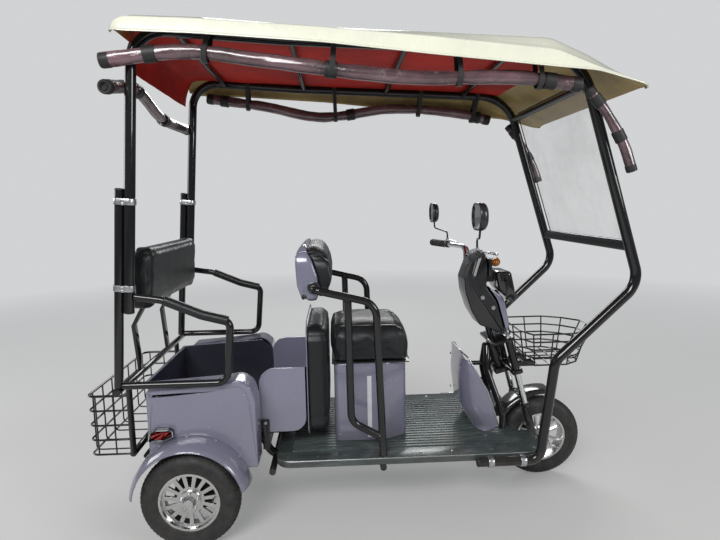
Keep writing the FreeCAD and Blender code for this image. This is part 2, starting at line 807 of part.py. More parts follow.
def rear_fenders():
    """Rounded arches over the rear wheels, turned about the axle."""
    body = new_body("RearFender")
    drawing = sketch(body, "XY")
    root = "panel_outer + running_gap"
    outline(drawing, [
        ("fender_radius - skin", root), ("fender_radius", root), ("fender_radius - 3", "fender_outer - 38"),
        ("fender_radius - 11", "fender_outer - 14"), ("fender_lip_radius + 4", "fender_outer"),
        ("fender_lip_radius", "fender_outer"), ("fender_lip_radius", "fender_outer - 4"),
        ("fender_radius - 14", "fender_outer - 18"), ("fender_radius - skin - 3", "fender_outer - 40")])
    turn(body, drawing, "fender_sweep")
    body.Placement = Placement(Vector(), Rotation(Vector(0, 1, 0), -value("fender_start + fender_sweep")))
    body.setExpression("Placement.Base.z", bound("wheel_radius"))
    keep(both_sides(group([body])), "rear_fenders")


def tail_lamps():
    """Lamp housings on the rear lower corners of the side panels."""
    body = prism("TailLamp", "XZ", [
        ("panel_rear + 8", "400"), ("panel_rear + 14", "432"), ("panel_rear + 36", "446"),
        ("panel_rear + 82", "446"), ("panel_rear + 98", "436"), ("panel_rear + 98", "418"),
        ("panel_rear + 60", "400")],
        "lamp_depth", "panel_outer + running_gap")
    soften(body, "5", lambda edge: edge.Vertexes[0].Y < -value("panel_outer") - 10
           and abs(edge.Vertexes[0].Y - edge.Vertexes[-1].Y) < 1e-6)
    keep(both_sides(group([body])), "tail_lamps")


def rear_rack():
    """A rod luggage rack: level rails round three sides, upright rods and a slatted floor."""
    pieces = []
    start = "rear_bar_back - upright_radius - running_gap"
    levels = int(value("rack_levels"))
    for i in range(levels):
        height = "rack_top + (rack_low - rack_top) * %d / (rack_levels - 1)" % i
        radius = "rack_rod + 1" if i == 0 else "rack_rod"
        pieces.append(tube([(start, "-upright_side", height), ("rack_rear", "-upright_side", height),
                            ("rack_rear", "upright_side", height), (start, "upright_side", height)],
                           ["30", "30"], radius))
    for place in range(7):
        side = "-upright_side + 40 + (upright_side - 40) * 2 * %d / 6" % place
        pieces.append(tube([("rack_rear", side, "rack_top"), ("rack_rear", side, "rack_low"),
                            (start, side, "rack_low")], ["18"], "rack_rod - 1"))
    for side in ("-1", "1"):
        for share in ("0.35", "0.8"):
            place = "(%s) + (rack_rear - (%s)) * %s" % (start, start, share)
            pieces.append(rod((place, "%s * upright_side" % side, "rack_low"),
                              (place, "%s * upright_side" % side, "rack_top"), "rack_rod - 1"))
    keep(fuse(pieces), "rear_rack")


# Roof hoops, posts and armrests
def hoop_x(height):
    """Where the rear leg of a hoop stands at a given height."""
    return ("hoop_foot_back + (hoop_rear_x - hoop_foot_back) * ((%s) - hoop_foot_height)"
            " / (hoop_rear_z - hoop_foot_height)" % height)


def post_x(height):
    """The lower post runs behind the hoop's leg, one tube against the other."""
    return "(%s) - (hoop_radius + post_radius + running_gap) * 1.004" % hoop_x(height)


def roof_hoops():
    """Each hoop is one bent tube: rear leg, roof rail, front pillar, knee, shin and tail beside the deck."""
    tail_side = "-deck_side - hoop_radius - running_gap"
    hoop = tube([
        ("hoop_foot_back", "-hoop_side", "hoop_foot_height"), ("hoop_rear_x", "-hoop_side", "hoop_rear_z"),
        ("hoop_mid_x", "-hoop_side", "hoop_mid_z"), ("hoop_front_x", "-hoop_side", "hoop_front_z"),
        ("knee_x", "-hoop_side", "knee_z"), ("shin_x", "-hoop_side", "shin_z"),
        ("ankle_x", tail_side, "ankle_z"), ("tail_end", tail_side, "ankle_z")],
        ["120", "600", "200", "100", "80", "50"], "hoop_radius")
    keep(both_sides(hoop), "roof_hoops")


def lower_posts():
    """Short posts behind the hoops' rear legs, standing on the rear bar."""
    foot = "rear_bar_height + upright_radius + running_gap"
    post = rod((post_x(foot), "-hoop_side", foot), (post_x("post_top"), "-hoop_side", "post_top"),
               "post_radius")
    keep(both_sides(post), "lower_posts")


def belt(first, second, first_radius, second_radius, wide, thick, axis):
    """A band that runs round two round bars in one plane across an axis."""
    gap = value("running_gap")
    away = (second - first)
    span = away.Length
    away.normalize()
    side = axis.cross(away).normalize()
    loops = []
    for extra in (gap + thick, gap):
        r1 = first_radius + extra
        r2 = second_radius + extra
        lean = math.asin((r1 - r2) / span)
        edges = []
        points = []
        for way in (1, -1):
            normal = away * math.sin(lean) + side * (way * math.cos(lean))
            points.append((first + normal * r1, second + normal * r2))
        edges.append(Part.LineSegment(points[0][0], points[0][1]).toShape())
        edges.append(Part.Arc(points[0][1], second + away * r2, points[1][1]).toShape())
        edges.append(Part.LineSegment(points[1][1], points[1][0]).toShape())
        edges.append(Part.Arc(points[1][0], first - away * r1, points[0][0]).toShape())
        loops.append(Part.Face(Part.Wire(edges)))
    ring = loops[0].cut(loops[1])
    ring.translate(axis * (-wide / 2))
    item = doc.addObject("Part::Feature", "Belt")
    item.Shape = ring.extrude(axis * wide)
    return item


def tube_clamps():
    """Plated bands that tie each post to its hoop, and each hoop's tail to the deck."""
    pieces = []
    leg = spot("hoop_rear_x", "0", "hoop_rear_z") - spot("hoop_foot_back", "0", "hoop_foot_height")
    leg.normalize()
    for height in ("clamp_low", "clamp_high"):
        front = spot(hoop_x(height), "-hoop_side", height)
        rear = spot(post_x(height), "-hoop_side", height)
        rear = rear - leg * (rear - front).dot(leg)
        pieces.append(belt(front, rear, value("hoop_radius"), value("post_radius"), value("clamp_width"),
                           value("clamp_band"), leg))
    tail_side = "-deck_side - hoop_radius - running_gap"
    for share in ("0.2", "0.72"):
        place = "tail_end + (ankle_x - tail_end) * %s" % share
        outer = rod(("(%s) - clamp_width / 2" % place, tail_side, "ankle_z"),
                    ("(%s) + clamp_width / 2" % place, tail_side, "ankle_z"),
                    "hoop_radius + clamp_band + running_gap")
        under = "deck_top - deck_thick - running_gap"
        tab = box(("(%s) - clamp_width / 2" % place, tail_side, under + " - clamp_band"),
                  ("(%s) + clamp_width / 2" % place, "-deck_side + 45", under))
        bore = rod(("(%s) - clamp_width" % place, tail_side, "ankle_z"),
                   ("(%s) + clamp_width" % place, tail_side, "ankle_z"), "hoop_radius + running_gap")
        deck = box(("(%s) - clamp_width" % place, "-deck_side - running_gap", under),
                   ("(%s) + clamp_width" % place, "0", "deck_top + 20"))
        pieces.append(cut(fuse([outer, tab]), fuse([bore, deck])))
    keep(both_sides(group(pieces)), "tube_clamps")


def armrests():
    """Bent rails beside the rear bench: a falling arm, a front corner and a lower rail back to the post."""
    lean = "arm_radius * (hoop_rear_x - hoop_foot_back) / (hoop_rear_z - hoop_foot_height)"
    start = "(%s) + hoop_radius * 1.004 + running_gap + %s" % (hoop_x("arm_rear_height"), lean)
    end = "(%s) + post_radius * 1.004 + running_gap + %s" % (post_x("arm_low"), lean)
    arm = tube([
        (start, "-hoop_side", "arm_rear_height"), ("-70", "-hoop_side", "arm_rear_height - 14"),
        ("70", "-hoop_side", "arm_front_height + 22"), ("arm_front", "-hoop_side", "arm_front_height - 4"),
        ("arm_front - 20", "-hoop_side", "arm_low"), (end, "-hoop_side", "arm_low")],
        ["90", "120", "34", "44"], "arm_radius")
    keep(both_sides(arm), "armrests")


def roof_crossbars():
    """Bars between the two hoops: four under the roof, one over and one under the windscreen."""
    end = "hoop_side - hoop_radius - running_gap"
    pieces = []
    slope = "(hoop_front_z - hoop_mid_z) / (hoop_front_x - hoop_mid_x)"
    for place in ("hoop_mid_x + 20", "hoop_mid_x + 420", "hoop_mid_x + 800"):
        height = "hoop_mid_z + ((%s) - hoop_mid_x) * (%s)" % (place, slope)
        pieces.append(rod((place, "-(%s)" % end, height), (place, end, height), "11"))
    rear = "hoop_rear_z - 5 + 150 * (hoop_mid_z - hoop_rear_z) / (hoop_mid_x - hoop_rear_x)"
    pieces.append(rod(("hoop_rear_x + 150", "-(%s)" % end, rear), ("hoop_rear_x + 150", end, rear), "11"))
    pieces.append(rod(("top_bar_x", "-(%s)" % end, "top_bar_z"), ("top_bar_x", end, "top_bar_z"),
                      "top_bar_radius"))
    deep = "screen_bar_deep / 2"
    tall = "screen_bar_tall / 2"
    pieces.append(box(("screen_bar_x - " + deep, "-(%s)" % end, "screen_bar_z - " + tall),
                      ("screen_bar_x + " + deep, end, "screen_bar_z + " + tall)))
    keep(group(pieces), "roof_crossbars")


# Roof: distance from the rear axle, then the heights of its plateau, shoulder and lip
ROOF_SECTIONS = (
    (-155, 1847, 1843, 1828),
    (-112, 1892, 1868, 1820),
    (120, 1885, 1860, 1811),
    (526, 1852, 1834, 1783),
    (900, 1836, 1801, 1743),
    (1313, 1816, 1757, 1702),
    (1450, 1756.8, 1704, 1690),
    (1640, 1652, 1648, 1638),
)


def roof_loft(rows, half, top_half, drop):
    """A straight-sided loft through cross-sections of the roof; drop opens the section below its lip."""
    sections = []
    for x, plateau, shoulder, lip in rows:
        if drop:
            side = [(half, lip - drop), (half, shoulder), (top_half, plateau)]
        else:
            flange = value("roof_flange")
            side = [(half, lip), (half, lip + 4), (half - flange, lip + 8), (half - flange, shoulder),
                    (top_half, plateau)]
        points = [Vector(x, y, z) for y, z in side] + [Vector(x, -y, z) for y, z in reversed(side)]
        section = doc.addObject("Part::Feature", "RoofSection")
        section.Shape = Part.makePolygon(points + points[:1])
        sections.append(section)
    loft = doc.addObject("Part::Loft", "RoofLoft")
    loft.Sections = sections
    loft.Solid = True
    loft.Ruled = True
    return loft


def roof_panel():
    """A moulded pan: flat top, sloping shoulders, upright sides and a turned-out lip."""
    wall = value("roof_skin")
    outer = roof_loft(ROOF_SECTIONS, value("roof_half"), value("roof_plateau_half"), 0)
    rows = []
    last = len(ROOF_SECTIONS) - 1
    for i, (x, plateau, shoulder, lip) in enumerate(ROOF_SECTIONS):
        inward = wall if i == 0 else -wall if i == last else 0
        rows.append((x + inward, plateau - wall, shoulder - wall, lip))
    inner = roof_loft(rows, value("roof_half - roof_flange - roof_skin"), value("roof_plateau_half - 2"), 90)
    keep(cut(outer, inner), "roof_panel")


def windscreen():
    """A clear sheet that leans on the two front bars."""
    low = spot("screen_bar_x", "0", "screen_bar_z")
    high = spot("top_bar_x", "0", "top_bar_z")
    lean = (high - low).normalize()
    ahead = Vector(lean.z, 0, -lean.x)
    sheet_box = primitive("Box", ("0", "0", "0"), Length="screen_thick", Width="2 * screen_half",
                          Height="%g" % ((high - low).Length + 45))
    for letter in "xyz":
        sheet_box.setExpression("Placement.Base." + letter, None)
    base = low - lean * 22 + ahead * (value("screen_bar_tall") / 2 * 0.3 + value("screen_bar_deep") / 2 + 0.4)
    corner = base - Vector(0, value("screen_half"), 0)
    sheet_box.Placement = Placement(corner, Rotation(Vector(0, 0, 1), lean))
    keep(group([sheet_box]), "windscreen")


# Seats
def backrest_frame():
    """Two flat straps that stand on the rear bar and carry the passenger backrest."""
    foot = "rear_bar_height + upright_radius + running_gap"
    front = "back_x - running_gap"
    strap = prism("Strap", "XZ", [
        ("rear_bar_back - stub_thick / 2", foot), ("rear_bar_back + stub_thick / 2", foot),
        ("rear_bar_back + stub_thick / 2 - 14", "back_low - 76"), (front, "back_low - 8"),
        (front, "back_low + 90"),
        ("(%s) - stub_thick" % front, "back_low + 90"), ("(%s) - stub_thick" % front, "back_low - 4"),
        ("rear_bar_back - stub_thick / 2 - 14", "back_low - 76")], "stub_wide", "stub_side - stub_wide / 2")
    keep(both_sides(strap), "backrest_frame")


def rear_backrest():
    """A broad upholstered rest that leans with the hoops' rear legs."""
    lean = "(back_top - back_low) * (hoop_rear_x - hoop_foot_back) / (hoop_rear_z - hoop_foot_height)"
    body = prism("RearBackrest", "XZ", [
        ("back_x", "back_low"), ("back_x + back_thick", "back_low"),
        ("back_x + back_thick + " + lean, "back_top"), ("back_x + " + lean, "back_top")],
        "2 * back_half", both=True)
    front = value("back_x + back_thick - 1")
    soften(body, "20", lambda edge: min(point.X for point in edge.Vertexes) > front)
    keep(group([body]), "rear_backrest")


def driver_guards():
    """Bent rails beside the driver's seat, each with a shorter inner branch."""
    foot = "deck_top - deck_rib + running_gap + 0.7"
    rail = tube([
        ("guard_front - 242", "-driver_back_half - running_gap", "943"),
        ("guard_front - 242", "-guard_side", "943"), ("guard_front - 4", "-guard_side", "885"),
        ("guard_foot", "-guard_side", foot)], ["25", "70"], "guard_radius")
    branch = tube([("guard_branch", "-guard_side", "912"), ("guard_branch + 5", "-guard_side", "415"),
                   ("guard_foot - 3", "-guard_side", "345")], ["60"], "guard_radius")
    keep(both_sides(fuse([rail, branch])), "driver_guards")


# Corners of the driver's backrest seen from the side: the moulded shell, then the pad in front of it
DRIVER_SHELL = ((455, 887), (418, 930), (402, 1000), (400, 1071), (430, 1105), (489, 1118), (476, 1098),
                (478, 990), (470, 890))
DRIVER_PAD = ((476.4, 1098), (478.4, 990), (470.4, 890), (520, 900), (546, 974), (530, 1060), (503, 1098))


def driver_backrest():
    """The driver's rest: a moulded shell and a padded face."""
    shell = prism("DriverShell", "XZ", DRIVER_SHELL, "2 * driver_back_half", both=True)
    keep(group([shell]), "driver_backrest_shell")
    cushion = prism("DriverPad", "XZ", DRIVER_PAD, "2 * (driver_back_half - 8)", both=True)
    soften(cushion, "14", lambda edge: min(point.X for point in edge.Vertexes) > 499)
    keep(group([cushion]), "driver_backrest_pad")


def seat_box():
    """An open-topped locker under the saddle, with chamfered front corners and a hinge along the front."""
    def plan(inset):
        return [
            ("box_rear + " + inset, "-box_half + " + inset),
            ("box_front - box_chamfer", "-box_half + " + inset),
            ("box_front - " + inset, "-box_half + box_chamfer_in + " + inset),
            ("box_front - " + inset, "box_half - box_chamfer_in - " + inset),
            ("box_front - box_chamfer", "box_half - " + inset),
            ("box_rear + " + inset, "box_half - " + inset)]
    body = new_body("SeatBox")
    drawing = sketch(body, "XY", "deck_top + running_gap")
    outline(drawing, plan("0"))
    pad(body, drawing, "box_top - deck_top - running_gap")
    hollow = sketch(body, "XY", "box_top")
    outline(hollow, plan("skin"))
    pocket(body, hollow, "box_top - deck_top - skin - running_gap")
    lines = sketch(body, "XZ")
    outline(lines, [
        ("box_rear + 92", "deck_top"), ("box_rear + 96", "deck_top"), ("box_rear + 96", "box_top - 40"),
        ("box_front - box_chamfer - 6", "box_top - 40"), ("box_front - box_chamfer - 6", "box_top - 36"),
        ("box_rear + 92", "box_top - 36")])
    groove = body.newObject("PartDesign::Pocket", "Groove")
    groove.Profile = lines
    groove.SideType = "Symmetric"
    groove.setExpression("Length", bound("2 * box_half + 4"))
    core = body.newObject("PartDesign::Pad", "Backing")
    backing = sketch(body, "XZ")
    outline(backing, [("box_rear + 91", "deck_top + skin"), ("box_rear + 97", "deck_top + skin"),
                      ("box_rear + 97", "box_top - 41"), ("box_front - box_chamfer - 5", "box_top - 41"),
                      ("box_front - box_chamfer - 5", "box_top - 35"), ("box_rear + 91", "box_top - 35")])
    core.Profile = backing
    core.SideType = "Symmetric"
    core.setExpression("Length", bound("2 * (box_half - 2)"))
    hollow_again = sketch(body, "XZ")
    floor = "deck_top + skin + running_gap"
    outline(hollow_again, [("box_rear + skin", floor), ("box_front - box_chamfer", floor),
                           ("box_front - box_chamfer", "box_top"), ("box_rear + skin", "box_top")])
    pocket(body, hollow_again, "2 * (box_half - skin)", both=True)
    pieces = [body]
    for side in ("-1", "1"):
        pieces.append(rod(("lid_hinge_x", "%s * 60" % side, "lid_hinge_z"),
                          ("lid_hinge_x", "%s * 100" % side, "lid_hinge_z"), "7"))
        ends = ("-100", "-60") if side == "-1" else ("60", "100")
        pieces.append(box(("box_front - 2", ends[0], "lid_hinge_z - 7"),
                          ("lid_hinge_x", ends[1], "lid_hinge_z")))
    pieces.append(rod(("lid_hinge_x", "-70", "lid_hinge_z"), ("lid_hinge_x", "70", "lid_hinge_z"), "3"))
    keep(fuse(pieces), "seat_box")


def battery_pack():
    """The traction battery as one plain block on the locker's floor."""
    floor = "deck_top + skin + 2 * running_gap"
    keep(box(("box_rear + 30", "-battery_half", floor),
             ("box_front - 35", "battery_half", floor + " + battery_tall")), "battery_pack")


def seat_lid():
    """A flat lid on the locker; its middle knuckle turns on the locker's pin."""
    low = "box_top + running_gap"
    plate = box(("box_rear - 8", "-box_half", low), ("lid_hinge_x - 4", "box_half", low + " + lid_thick"))
    knuckle = rod(("lid_hinge_x", "-59", "lid_hinge_z"), ("lid_hinge_x", "59", "lid_hinge_z"), "7")
    tongue = box(("lid_hinge_x - 4 - 0.5", "-59", "lid_hinge_z + 2"),
                 ("lid_hinge_x + 7", "59", low + " + lid_thick"))
    room = box(("box_front - 20", "-70", "lid_hinge_z - 20"), ("box_front + running_gap", "70", low))
    pin = rod(("lid_hinge_x", "-80", "lid_hinge_z"), ("lid_hinge_x", "80", "lid_hinge_z"), "3 + running_gap")
    keep(cut(fuse([plate, knuckle, tongue]), fuse([room, pin])), "seat_lid")


def driver_cushion():
    """A thick saddle with a sloping front."""
    low = "box_top + lid_thick + 2 * running_gap"
    body = prism("DriverCushion", "XZ", [
        ("box_rear - seat_over", low), ("lid_hinge_x + 6", low), ("lid_hinge_x + 6", "seat_top - 100"),
        ("lid_hinge_x - 18", "seat_top - 26"), ("lid_hinge_x - 60", "seat_top - 4"),
        ("box_rear + 120", "seat_top"),
        ("box_rear - seat_over", "seat_top - 6")], "2 * (box_half + seat_over)", both=True)
    high = value("seat_top - 110")
    soften(body, "18", lambda edge: max(point.Z for point in edge.Vertexes) > high and not across_y(edge))
    keep(group([body]), "driver_cushion")


def bench_shell():
    """The hollow underbody of the tipping bench, with its hinge pins."""
    body = prism("BenchShell", "XZ", [
        ("bench_rear", "bench_low"), ("bench_face", "bench_low"), ("bench_face", "bench_top"),
        ("bench_rear", "bench_top")], "2 * bench_half", both=True)
    hollow = sketch(body, "XZ")
    outline(hollow, [("bench_rear - 5", "bench_low + skin"), ("bench_face - skin", "bench_low + skin"),
                     ("bench_face - skin", "bench_top + 5"), ("bench_rear - 5", "bench_top + 5")])
    pocket(body, hollow, "2 * (bench_half - skin)", both=True)
    pieces = [body]
    for side in ("-1", "1"):
        pieces.append(rod(("bench_hinge_x", "%s * (bench_half - skin)" % side, "bench_hinge_z"),
                          ("bench_hinge_x", "%s * (bench_half + 9)" % side, "bench_hinge_z"), "6"))
    keep(fuse(pieces), "bench_shell")


def bench_cushion():
    """The bench's seat pad; tipped forward it stands upright behind the driver."""
    body = prism("BenchCushion", "XZ", [
        ("bench_face + running_gap", "cushion_low"), ("cushion_front - 6", "cushion_low"),
        ("cushion_front", "cushion_low + 90"), ("cushion_front", "cushion_top"),
        ("bench_face + running_gap", "cushion_top")], "2 * bench_half", both=True)
    face = value("bench_face + 5")
    soften(body, "24", lambda edge: min(point.X for point in edge.Vertexes) > face)
    keep(group([body]), "bench_cushion")


# Leg shield and steering: the shield's corners seen from the side, then those of the room inside it
LEG_SHIELD = ((1092, 618), (1083, 500), (1100, 360), (1160, 275.3), (1200, 275.3), (1250, 300), (1200, 450),
              (1120, 600))
SHIELD_ROOM = ((1097, 612), (1088, 500), (1105, 362), (1163, 279.3), (1199, 279.3), (1290, 296), (1290, 640),
               (1108, 640))


def leg_shield():
    """A moulded shield behind the steering column, open to the front, standing on the floor."""
    body = prism("LegShield", "XZ", LEG_SHIELD, "2 * shield_half", both=True)
    side = value("shield_half") - 0.1
    soften(body, "7", lambda edge: min(abs(point.Y) for point in edge.Vertexes) > side
           and max(point.X for point in edge.Vertexes) < 1101 and not across_y(edge))
    room = sketch(body, "XZ")
    outline(room, SHIELD_ROOM)
    pocket(body, room, "2 * (shield_half - skin)", both=True)
    keep(group([body]), "leg_shield")


def raked_box(low, high):
    """A box whose sides follow the fork's rake: ahead, to the side and up the steering axis."""
    spans = ["(%s) - (%s)" % pair for pair in zip(high, low)]
    lean = math.radians(value("rake"))
    axis = Vector(-math.sin(lean), 0, math.cos(lean))
    return primitive("Box", raked(low[0], low[2], low[1]), axis,
                     Length=spans[0], Width=spans[1], Height=spans[2])


def fork():
    """Steerer, two clamps, bright stanchions, lower legs with forward lugs, and the axle with its spacers."""
    pieces = [
        rod(raked("0", "-20"), raked("0", "420"), "14"),
        raked_box(("-26", "-crown_neck_half", "-30"), ("crown_neck_ahead", "crown_neck_half", "-8")),
        raked_box(("crown_neck_ahead", "-crown_half", "-30"), ("fork_offset + 23", "crown_half", "-8")),
        raked_box(("-24", "-crown_half + 4", "head_tube_length + 4"),
                  ("fork_offset + 21", "crown_half - 4", "head_tube_length + 20")),
        box(("head_x - 139", "-34", "bar_low_z - bar_radius - 14"),
            ("head_x - 89", "34", "bar_low_z - bar_radius - running_gap"))]
    axle_up = "(wheel_radius - head_z) * cos(rake * 1deg) - (wheelbase - head_x) * sin(rake * 1deg)"
    axle_ahead = "(wheelbase - head_x) * cos(rake * 1deg) + (wheel_radius - head_z) * sin(rake * 1deg)"
    for side in ("-1", "1"):
        leg = "%s * leg_side" % side
        pieces.append(rod(raked("fork_offset", "head_tube_length + 26", leg),
                          raked("fork_offset", "-190", leg), "slider_radius"))
        pieces.append(rod(raked("fork_offset", "-172", leg),
                          raked("fork_offset", "(%s) - 14" % axle_up, leg), "leg_radius"))
        pieces.append(raked_box(("fork_offset", "%s - 9" % leg, "(%s) - 17" % axle_up),
                                ("(%s) + 18" % axle_ahead, "%s + 9" % leg, "(%s) + 17" % axle_up)))
        pieces.append(rod(("wheelbase", "%s * 34.5" % side, "wheel_radius"),
                          ("wheelbase", "%s * 75" % side, "wheel_radius"), "16"))
        pieces.append(box(("head_x + 67", "%s * 52 - 6" % side, "basket_low - 30"),
                          ("head_x + 150", "%s * 52 + 6" % side, "basket_low - basket_rod - running_gap")))
    pieces.append(rod(("wheelbase", "-leg_side - 14", "wheel_radius"),
                      ("wheelbase", "leg_side + 14", "wheel_radius"), "shaft_radius"))
    keep(fuse(pieces), "fork")


def front_fender():
    """A broad mudguard over the steered wheel, held between the fork's legs by four tabs."""
    body = new_body("FrontFender")
    drawing = sketch(body, "XY")
    low = "wheel_radius + fender_gap"
    outline(drawing, [
        (low, "-front_fender_half + 10"), ("(%s) - 14" % low, "-front_fender_half"),
        ("(%s) - 12" % low, "-front_fender_half - 2"), ("(%s) + skin" % low, "-front_fender_half + 8"),
        ("(%s) + skin" % low, "front_fender_half - 8"), ("(%s) - 12" % low, "front_fender_half + 2"),
        ("(%s) - 14" % low, "front_fender_half"), (low, "front_fender_half - 10")])
    turn(body, drawing, "68")
    body.Placement = Placement(Vector(), Rotation(Vector(0, 1, 0), -150))
    body.setExpression("Placement.Base.x", bound("wheelbase"))
    body.setExpression("Placement.Base.z", bound("wheel_radius"))
    pieces = [body]
    for side in ("-1", "1"):
        for up in ("-178", "-196"):
            near = "%s * (front_fender_half - 6)" % side
            far = "%s * (leg_side - leg_radius - running_gap)" % side
            pieces.append(rod(raked("fork_offset", up, near), raked("fork_offset", up, far), "5"))
        pieces.append(raked_box(("fork_offset - 8", "%s * (front_fender_half - 4) - 2" % side, "-205"),
                                ("fork_offset + 8", "%s * (front_fender_half - 4) + 2" % side, "-150")))
    keep(fuse(pieces), "front_fender")


def bar_path():
    """Corners of the high-rise handlebar from the right grip to the left one."""
    half = [("screen_bar_x - 587", "bar_end_y", "bar_high_z + 4"), ("head_x - 120", "130", "bar_high_z"),
            ("head_x - 135", "60", "bar_low_z")]
    return [(x, "-(%s)" % y, z) for x, y, z in half] + [(x, y, z) for x, y, z in reversed(half)]


def handlebar():
    """A chromed tube with a flat middle, two risers and swept-back ends."""
    keep(tube(bar_path(), ["50", "40", "40", "50"], "bar_radius"), "handlebar")


def brake_cable():
    """The right brake cable, from the lever's clamp along the riser to the cowl."""
    end = spot(*bar_path()[0])
    corner = spot(*bar_path()[1])
    inward = (corner - end).normalize()
    ahead = Vector(inward.y, -inward.x, 0).normalize()
    lower = spot(*bar_path()[2])
    fall = (lower - corner).normalize()
    aside = value("bar_radius + cable_radius + running_gap") + 0.6
    start = end + inward * (value("grip_length + 29")) + ahead * aside
    stop = value("cowl_half + running_gap") + value("cable_radius")
    reach = (-stop - corner.y) / fall.y
    return bent_bar([start, corner + ahead * aside, corner + fall * reach + Vector(aside + 1, 0, 0)], [40],
                    "cable_radius")


def hand_controls():
    """Grips, clamp rings and brake levers, with the cables that leave them."""
    end = spot(*bar_path()[0])
    corner = spot(*bar_path()[1])
    inward = (corner - end).normalize()
    grip_length = value("grip_length")

    def along_bar(start, stop, radius):
        item = doc.addObject("Part::Cylinder", "OnBar")
        item.setExpression("Radius", bound(radius))
        item.Height = stop - start
        item.Placement = Placement(end + inward * start, Rotation(Vector(0, 0, 1), inward))
        return item
    grip = along_bar(-6, grip_length, "grip_radius")
    ring = along_bar(grip_length - 1, grip_length + 24, "grip_radius - 1")
    perch = end + inward * (grip_length + 12)
    lever = bent_bar([perch + Vector(4, 0, 2), perch + Vector(52, 8, 6), perch + Vector(34, -138, 14)],
                     [14], "5")
    bore = along_bar(-value("running_gap"), grip_length + 40, "bar_radius + running_gap")
    keep(both_sides(group([cut(fuse([grip, ring, lever]), bore), brake_cable()])), "hand_controls")


def mirrors():
    """Rounded mirrors on thin stems that stand on the lever clamps."""
    body = new_body("Mirror")
    drawing = sketch(body, "YZ", "mirror_x - 16")
    sides = ("-mirror_side - 65", "-mirror_side + 65")
    levels = ("mirror_z - 50", "mirror_z + 50")
    outline(drawing, [(sides[0], levels[0]), (sides[1], levels[0]),
                      (sides[1], levels[1]), (sides[0], levels[1])])
    pad(body, drawing, "32")
    soften(body, "46", lambda edge: along(edge, Vector(1, 0, 0)))
    front = value("mirror_x + 15")
    soften(body, "12", lambda edge: min(point.X for point in edge.Vertexes) > front)
    end = spot(*bar_path()[0])
    corner = spot(*bar_path()[1])
    perch = end + (corner - end).normalize() * (value("grip_length") + 12)
    lift = value("grip_radius - 1 + running_gap")
    stem = bent_bar([
        perch + Vector(0, 0, lift + 0.2), perch + Vector(0, 2, lift + 44),
        Vector(value("mirror_x"), -value("mirror_side") + 10, value("mirror_z") - 78),
        Vector(value("mirror_x"), -value("mirror_side"), value("mirror_z") - 44)], [18, 18], "4")
    keep(both_sides(fuse([body, stem])), "mirrors")


# Corners of the cowl seen from the side, of the room inside it, and of the coloured blade in front
COWL = ((1112, 936), (1118, 872), (1145, 789), (1183, 726), (1296, 680), (1281, 744), (1255, 833),
        (1210, 897), (1214, 962), (1204, 1040), (1188, 1055), (1150, 1040), (1128, 980))
COWL_ROOM = ((1118, 936), (1124, 873), (1150, 792), (1186, 731), (1184, 700), (1288, 660), (1290, 686),
             (1276, 742), (1250, 830), (1205, 894), (1208, 960), (1199, 1036), (1186, 1048), (1154, 1035),
             (1133, 978))
COWL_TRIM = ((1210.8, 903), (1290, 846), (1316, 723), (1301, 675), (1281.4, 744), (1255.4, 833),
             (1210.5, 897.3))


def steering_cowl():
    """A hollow housing round the steerer with the instrument pod on top; the handlebar passes through it."""
    body = prism("Cowl", "XZ", COWL, "2 * cowl_half", both=True)
    room = sketch(body, "XZ")
    outline(room, COWL_ROOM)
    pocket(body, room, "2 * (cowl_half - skin)", both=True)
    passage = tube(bar_path(), ["50", "40", "40", "50"], "bar_radius + running_gap")
    keep(cut(group([body]), passage), "steering_cowl")


def cowl_trim():
    """The coloured blade down the front of the cowl."""
    blade = prism("Blade", "XZ", COWL_TRIM, "2 * (cowl_half - 6)", both=True)
    soften(blade, "10", lambda edge: min(point.X for point in edge.Vertexes) > 1285
           and not across_y(edge))
    keep(group([blade]), "cowl_trim")


# Corners of the headlight seen from the side
HEADLIGHT = ((1246, 965), (1316, 962), (1336, 872), (1323, 814), (1306, 838), (1262, 883))


def front_lamps():
    """A deep headlight and two pointed signal lamps, held on the front of the cowl."""
    lamp = prism("Headlight", "XZ", HEADLIGHT, "160", both=True)
    soften(lamp, "12", lambda edge: not across_y(edge))
    neck = prism("Neck", "XZ", ((1211.4, 912), (1252, 912), (1252, 948), (1213.6, 948)), "52",
                 both=True)
    signals = []
    for side in ("-", ""):
        ends = ("-104", "-40") if side else ("40", "104")
        signals.append(box(("1222", ends[0], "1004"), ("1238", ends[1], "1018")))
        tip = "%s148" % side
        root = "%s100" % side
        signals.append(rod(("1230", root, "1011"), ("1230", tip, "1011"), "20"))
    bridge = box(("1222", "-50", "940"), ("1238", "50", "1018"))
    keep(fuse([lamp, neck, bridge] + signals), "front_lamps")


# Half outlines of the front basket: its rim, then its floor
BASKET_RIM = ((1350, 0), (1350, -100), (1380, -172), (1550, -172), (1630, -130), (1690, -60), (1690, 0))
BASKET_FLOOR = ((1370, 0), (1370, -95), (1400, -140), (1540, -140), (1600, -100), (1620, -50), (1620, 0))


